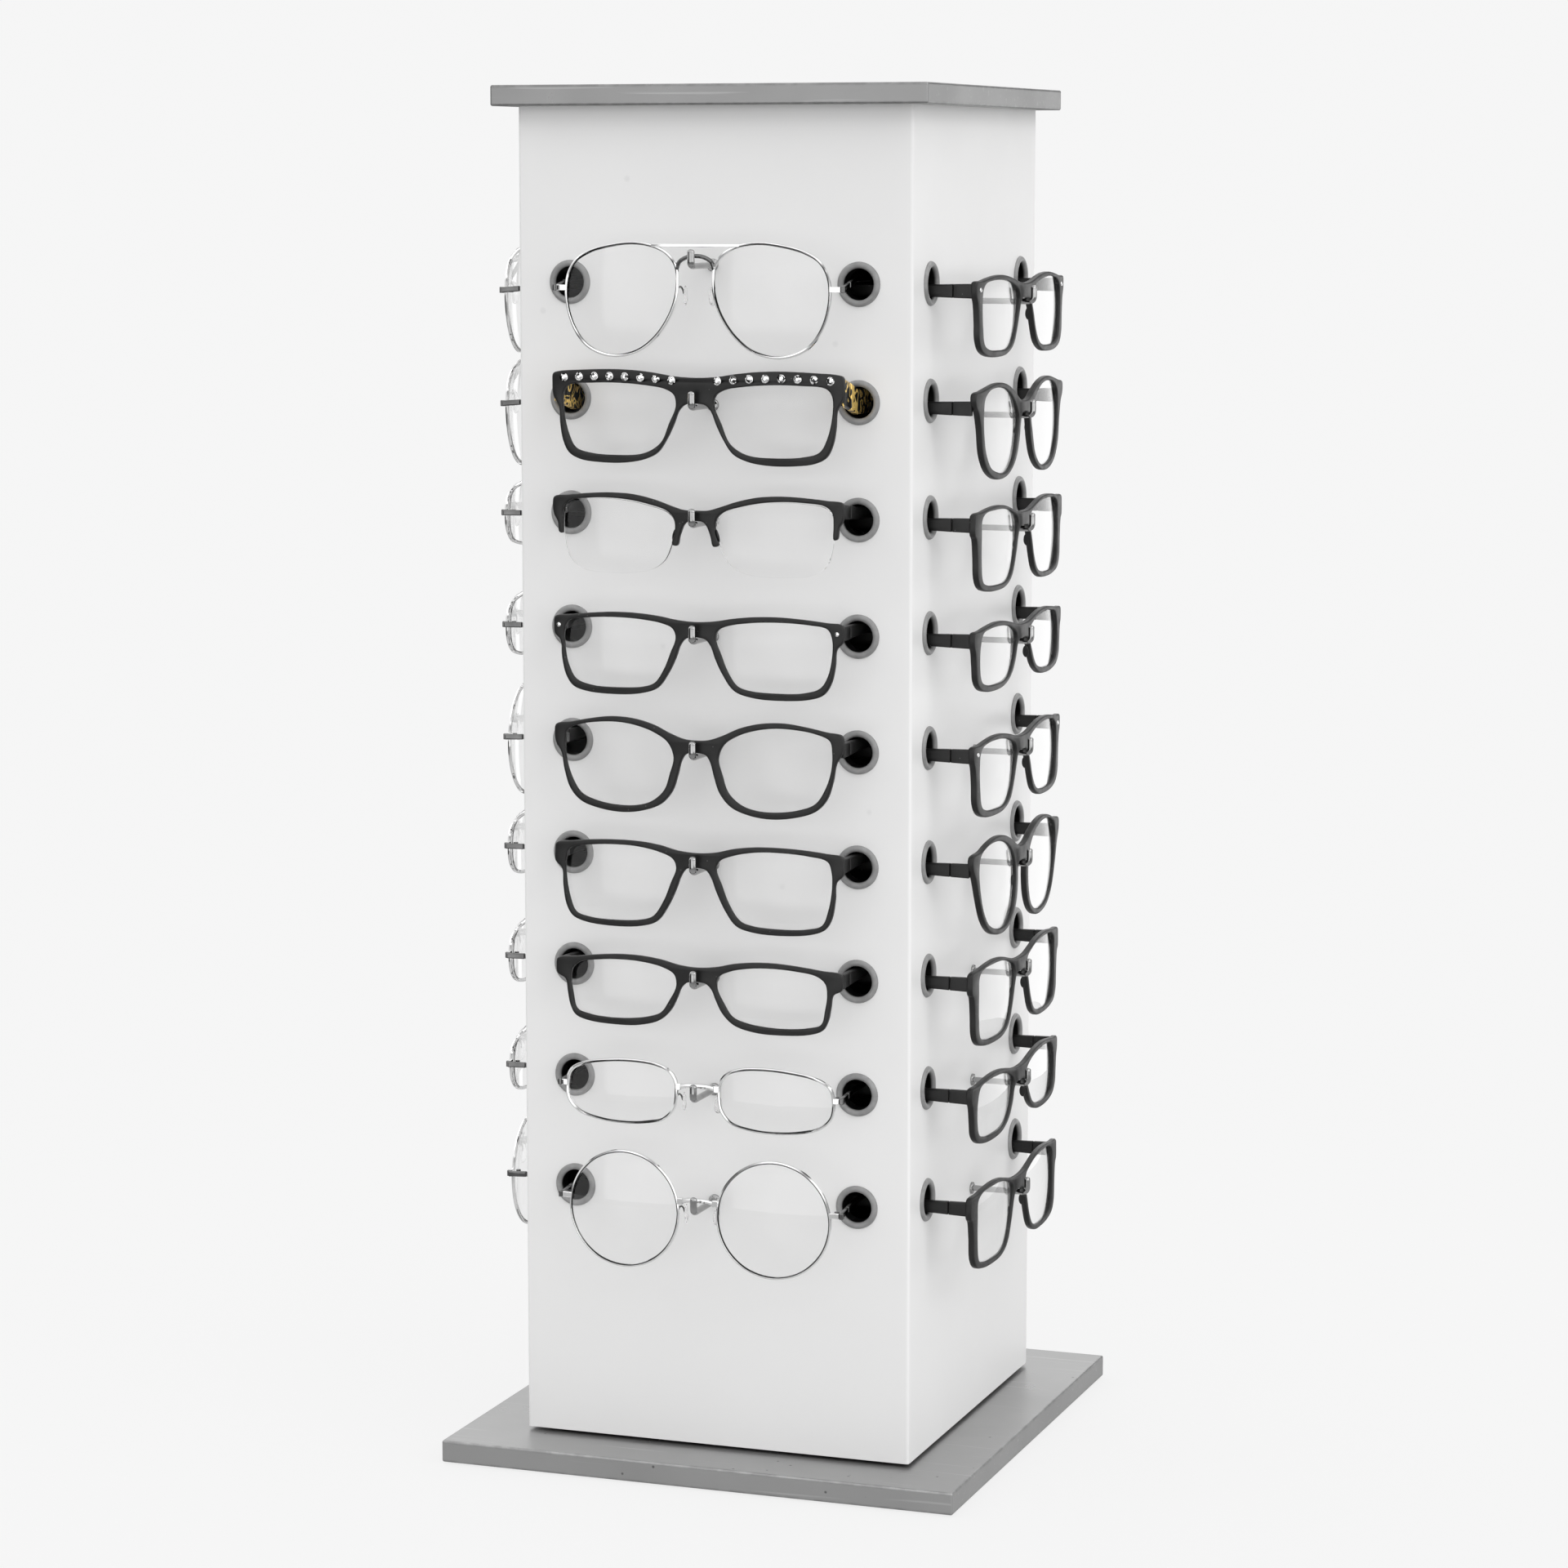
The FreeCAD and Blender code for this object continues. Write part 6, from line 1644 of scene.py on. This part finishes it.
# %% A generator for a line of jewels
brow_tree, given, made = new_group("line_along_a_brow", "GeometryNodeTree", [
    ("Part", GEOMETRY, None), ("Count", INT, 8), ("First", FLOAT, 0.011),
    ("Step", FLOAT, 0.0075), ("Height", FLOAT, 0.0), ("Arch", FLOAT, 0.0014),
    ("Depth", FLOAT, -0.12), ("Bend radius", FLOAT, 1.0), ("Finish", MATERIAL, None)],
    [("Pieces", GEOMETRY)])
both = add(brow_tree, "GeometryNodeJoinGeometry")
for sign in (-1.0, 1.0):
    start = maths(brow_tree, "MULTIPLY", given["First"], sign)
    step = maths(brow_tree, "MULTIPLY", given["Step"], sign)
    line = add(brow_tree, "GeometryNodeMeshLine", {
        "Count": given["Count"], "Start Location": vector_of(brow_tree, x=start),
        "Offset": vector_of(brow_tree, x=step)}).outputs[0]
    index = add(brow_tree, "GeometryNodeInputIndex").outputs[0]
    middle = maths(brow_tree, "MULTIPLY", given["Count"], 0.5)
    share = maths(brow_tree, "DIVIDE", maths(brow_tree, "SUBTRACT", index, middle), middle)
    fall = maths(brow_tree, "MULTIPLY", maths(brow_tree, "MULTIPLY", share, share),
                 given["Arch"])
    out = add(brow_tree, "ShaderNodeSeparateXYZ", {
        0: add(brow_tree, "GeometryNodeInputPosition").outputs[0]}).outputs["X"]
    sag = maths(brow_tree, "DIVIDE", maths(brow_tree, "MULTIPLY", out, out),
                maths(brow_tree, "MULTIPLY", given["Bend radius"], 2.0))
    move = vector_of(brow_tree, y=maths(brow_tree, "ADD", given["Depth"], sag),
                     z=maths(brow_tree, "SUBTRACT", given["Height"], fall))
    line = add(brow_tree, "GeometryNodeSetPosition", {
        "Geometry": line, "Offset": move}).outputs[0]
    brow_tree.links.new(line, both.inputs[0])
jewels = add(brow_tree, "GeometryNodeInstanceOnPoints", {
    "Points": both.outputs[0], "Instance": given["Part"]}).outputs[0]
jewels = add(brow_tree, "GeometryNodeRealizeInstances", {0: jewels}).outputs[0]
jewels = add(brow_tree, "GeometryNodeSetMaterial", {
    "Geometry": jewels, "Material": given["Finish"]}).outputs[0]
brow_tree.links.new(jewels, made.inputs["Pieces"])
print("brow generator:", len(brow_tree.nodes), "nodes")

# %% Set the stones
STONES, FIRST_STONE, STONE_STEP = 8, 11.0, 7.55
BROW, BROW_ARCH, STONE_OUT = 11.1, 1.4, 0.15
stone = turned([(0, 0.3), (1.70, 0.3), (1.70, -0.10), (1.15, -0.72), (0.62, -0.88),
                (0, -0.9)], 8, closed=False)
stone.shade_flat()
setting = turned([(1.66, 0.3), (1.98, 0.3), (2.0, 0.0), (1.92, -0.22), (1.74, -0.26),
                  (1.66, -0.1)], 20)
jewel = joined("jewel", [(stone, Matrix(), 0), (setting, Matrix(), 0)])
generated("brow_jewels", brow_tree, jewel, stone_foil, "column", ["brow_stones"],
          "stone_clear", **{
              "Count": STONES, "First": FIRST_STONE * MM, "Step": STONE_STEP * MM,
              "Height": row_height(2) + BROW * MM, "Arch": BROW_ARCH * MM,
              "Depth": FACE_Y - (FRONT_DEPTH + STONE_OUT) * MM, "Bend radius": BEND_RADIUS})

# %% Rivets of the end pieces
rivet = turned([(0, 0.3), (1.1, 0.3), (1.12, 0.05), (0.95, -0.3), (0.55, -0.48), (0, -0.52)],
               18, closed=False)
RIVET_SPOTS = {"soft_rectangle": (67.2, 3.0), "riveted_square": (64.6, -2.9)}
RIVET_OUT = 0.05
parts = []
for face in FACES:
    for row, style, rise in pairs_on(face):
        if style not in RIVET_SPOTS:
            continue
        x, z = RIVET_SPOTS[style]
        for sign in (-1, 1):
            spot = on_curve([(sign * x, z)], FRONT_DEPTH + RIVET_OUT)[0]
            parts.append((rivet, seat(face, row, rise) @ Matrix.Translation(spot), 0))
gathered("end_piece_rivets", parts, [frame_chrome], "column", ["rivets"])

# %% [markdown]
# ## Floor
# The display stands on a plain pale floor.  A square plane would show its far edge as a
# line.  This floor is a wide disc that fades into the tent's own white at its edge, so
# only a soft shadow shows where the base stands.

# %% Lay the floor
FLOOR_RADIUS, FADE_FROM, FADE_TO = 0.9, 0.25, 0.75
FLOOR_WHITE, FLOOR_LIGHT = 0.80, 0.50
floor_paint, tree, sockets, place = new_finish("floor_paint", Roughness=0.8)
away = add(tree, "ShaderNodeVectorMath", {0: place}, operation="LENGTH").outputs["Value"]
fade = spread(tree, away, FADE_FROM, FADE_TO)
tree.links.new(blended(tree, fade, grey(0.09), grey(0.0)), sockets["Base Color"])
glow = blended(tree, fade, grey(FLOOR_WHITE), grey(TENT_WHITE))
glow = blended(tree, seen_by_eye(tree), grey(FLOOR_LIGHT), glow)
tree.links.new(glow, sockets["Emission Color"])
sockets["Emission Strength"].default_value = 1.0
sockets["Specular IOR Level"].default_value = 0.0
work = bmesh.new()
bmesh.ops.create_circle(work, cap_ends=True, segments=96, radius=FLOOR_RADIUS)
disc = mesh_from(work, "floor")
disc.materials.append(floor_paint)
floor = bpy.data.objects.new("floor", disc)
scene.collection.objects.link(floor)
print("floor laid")
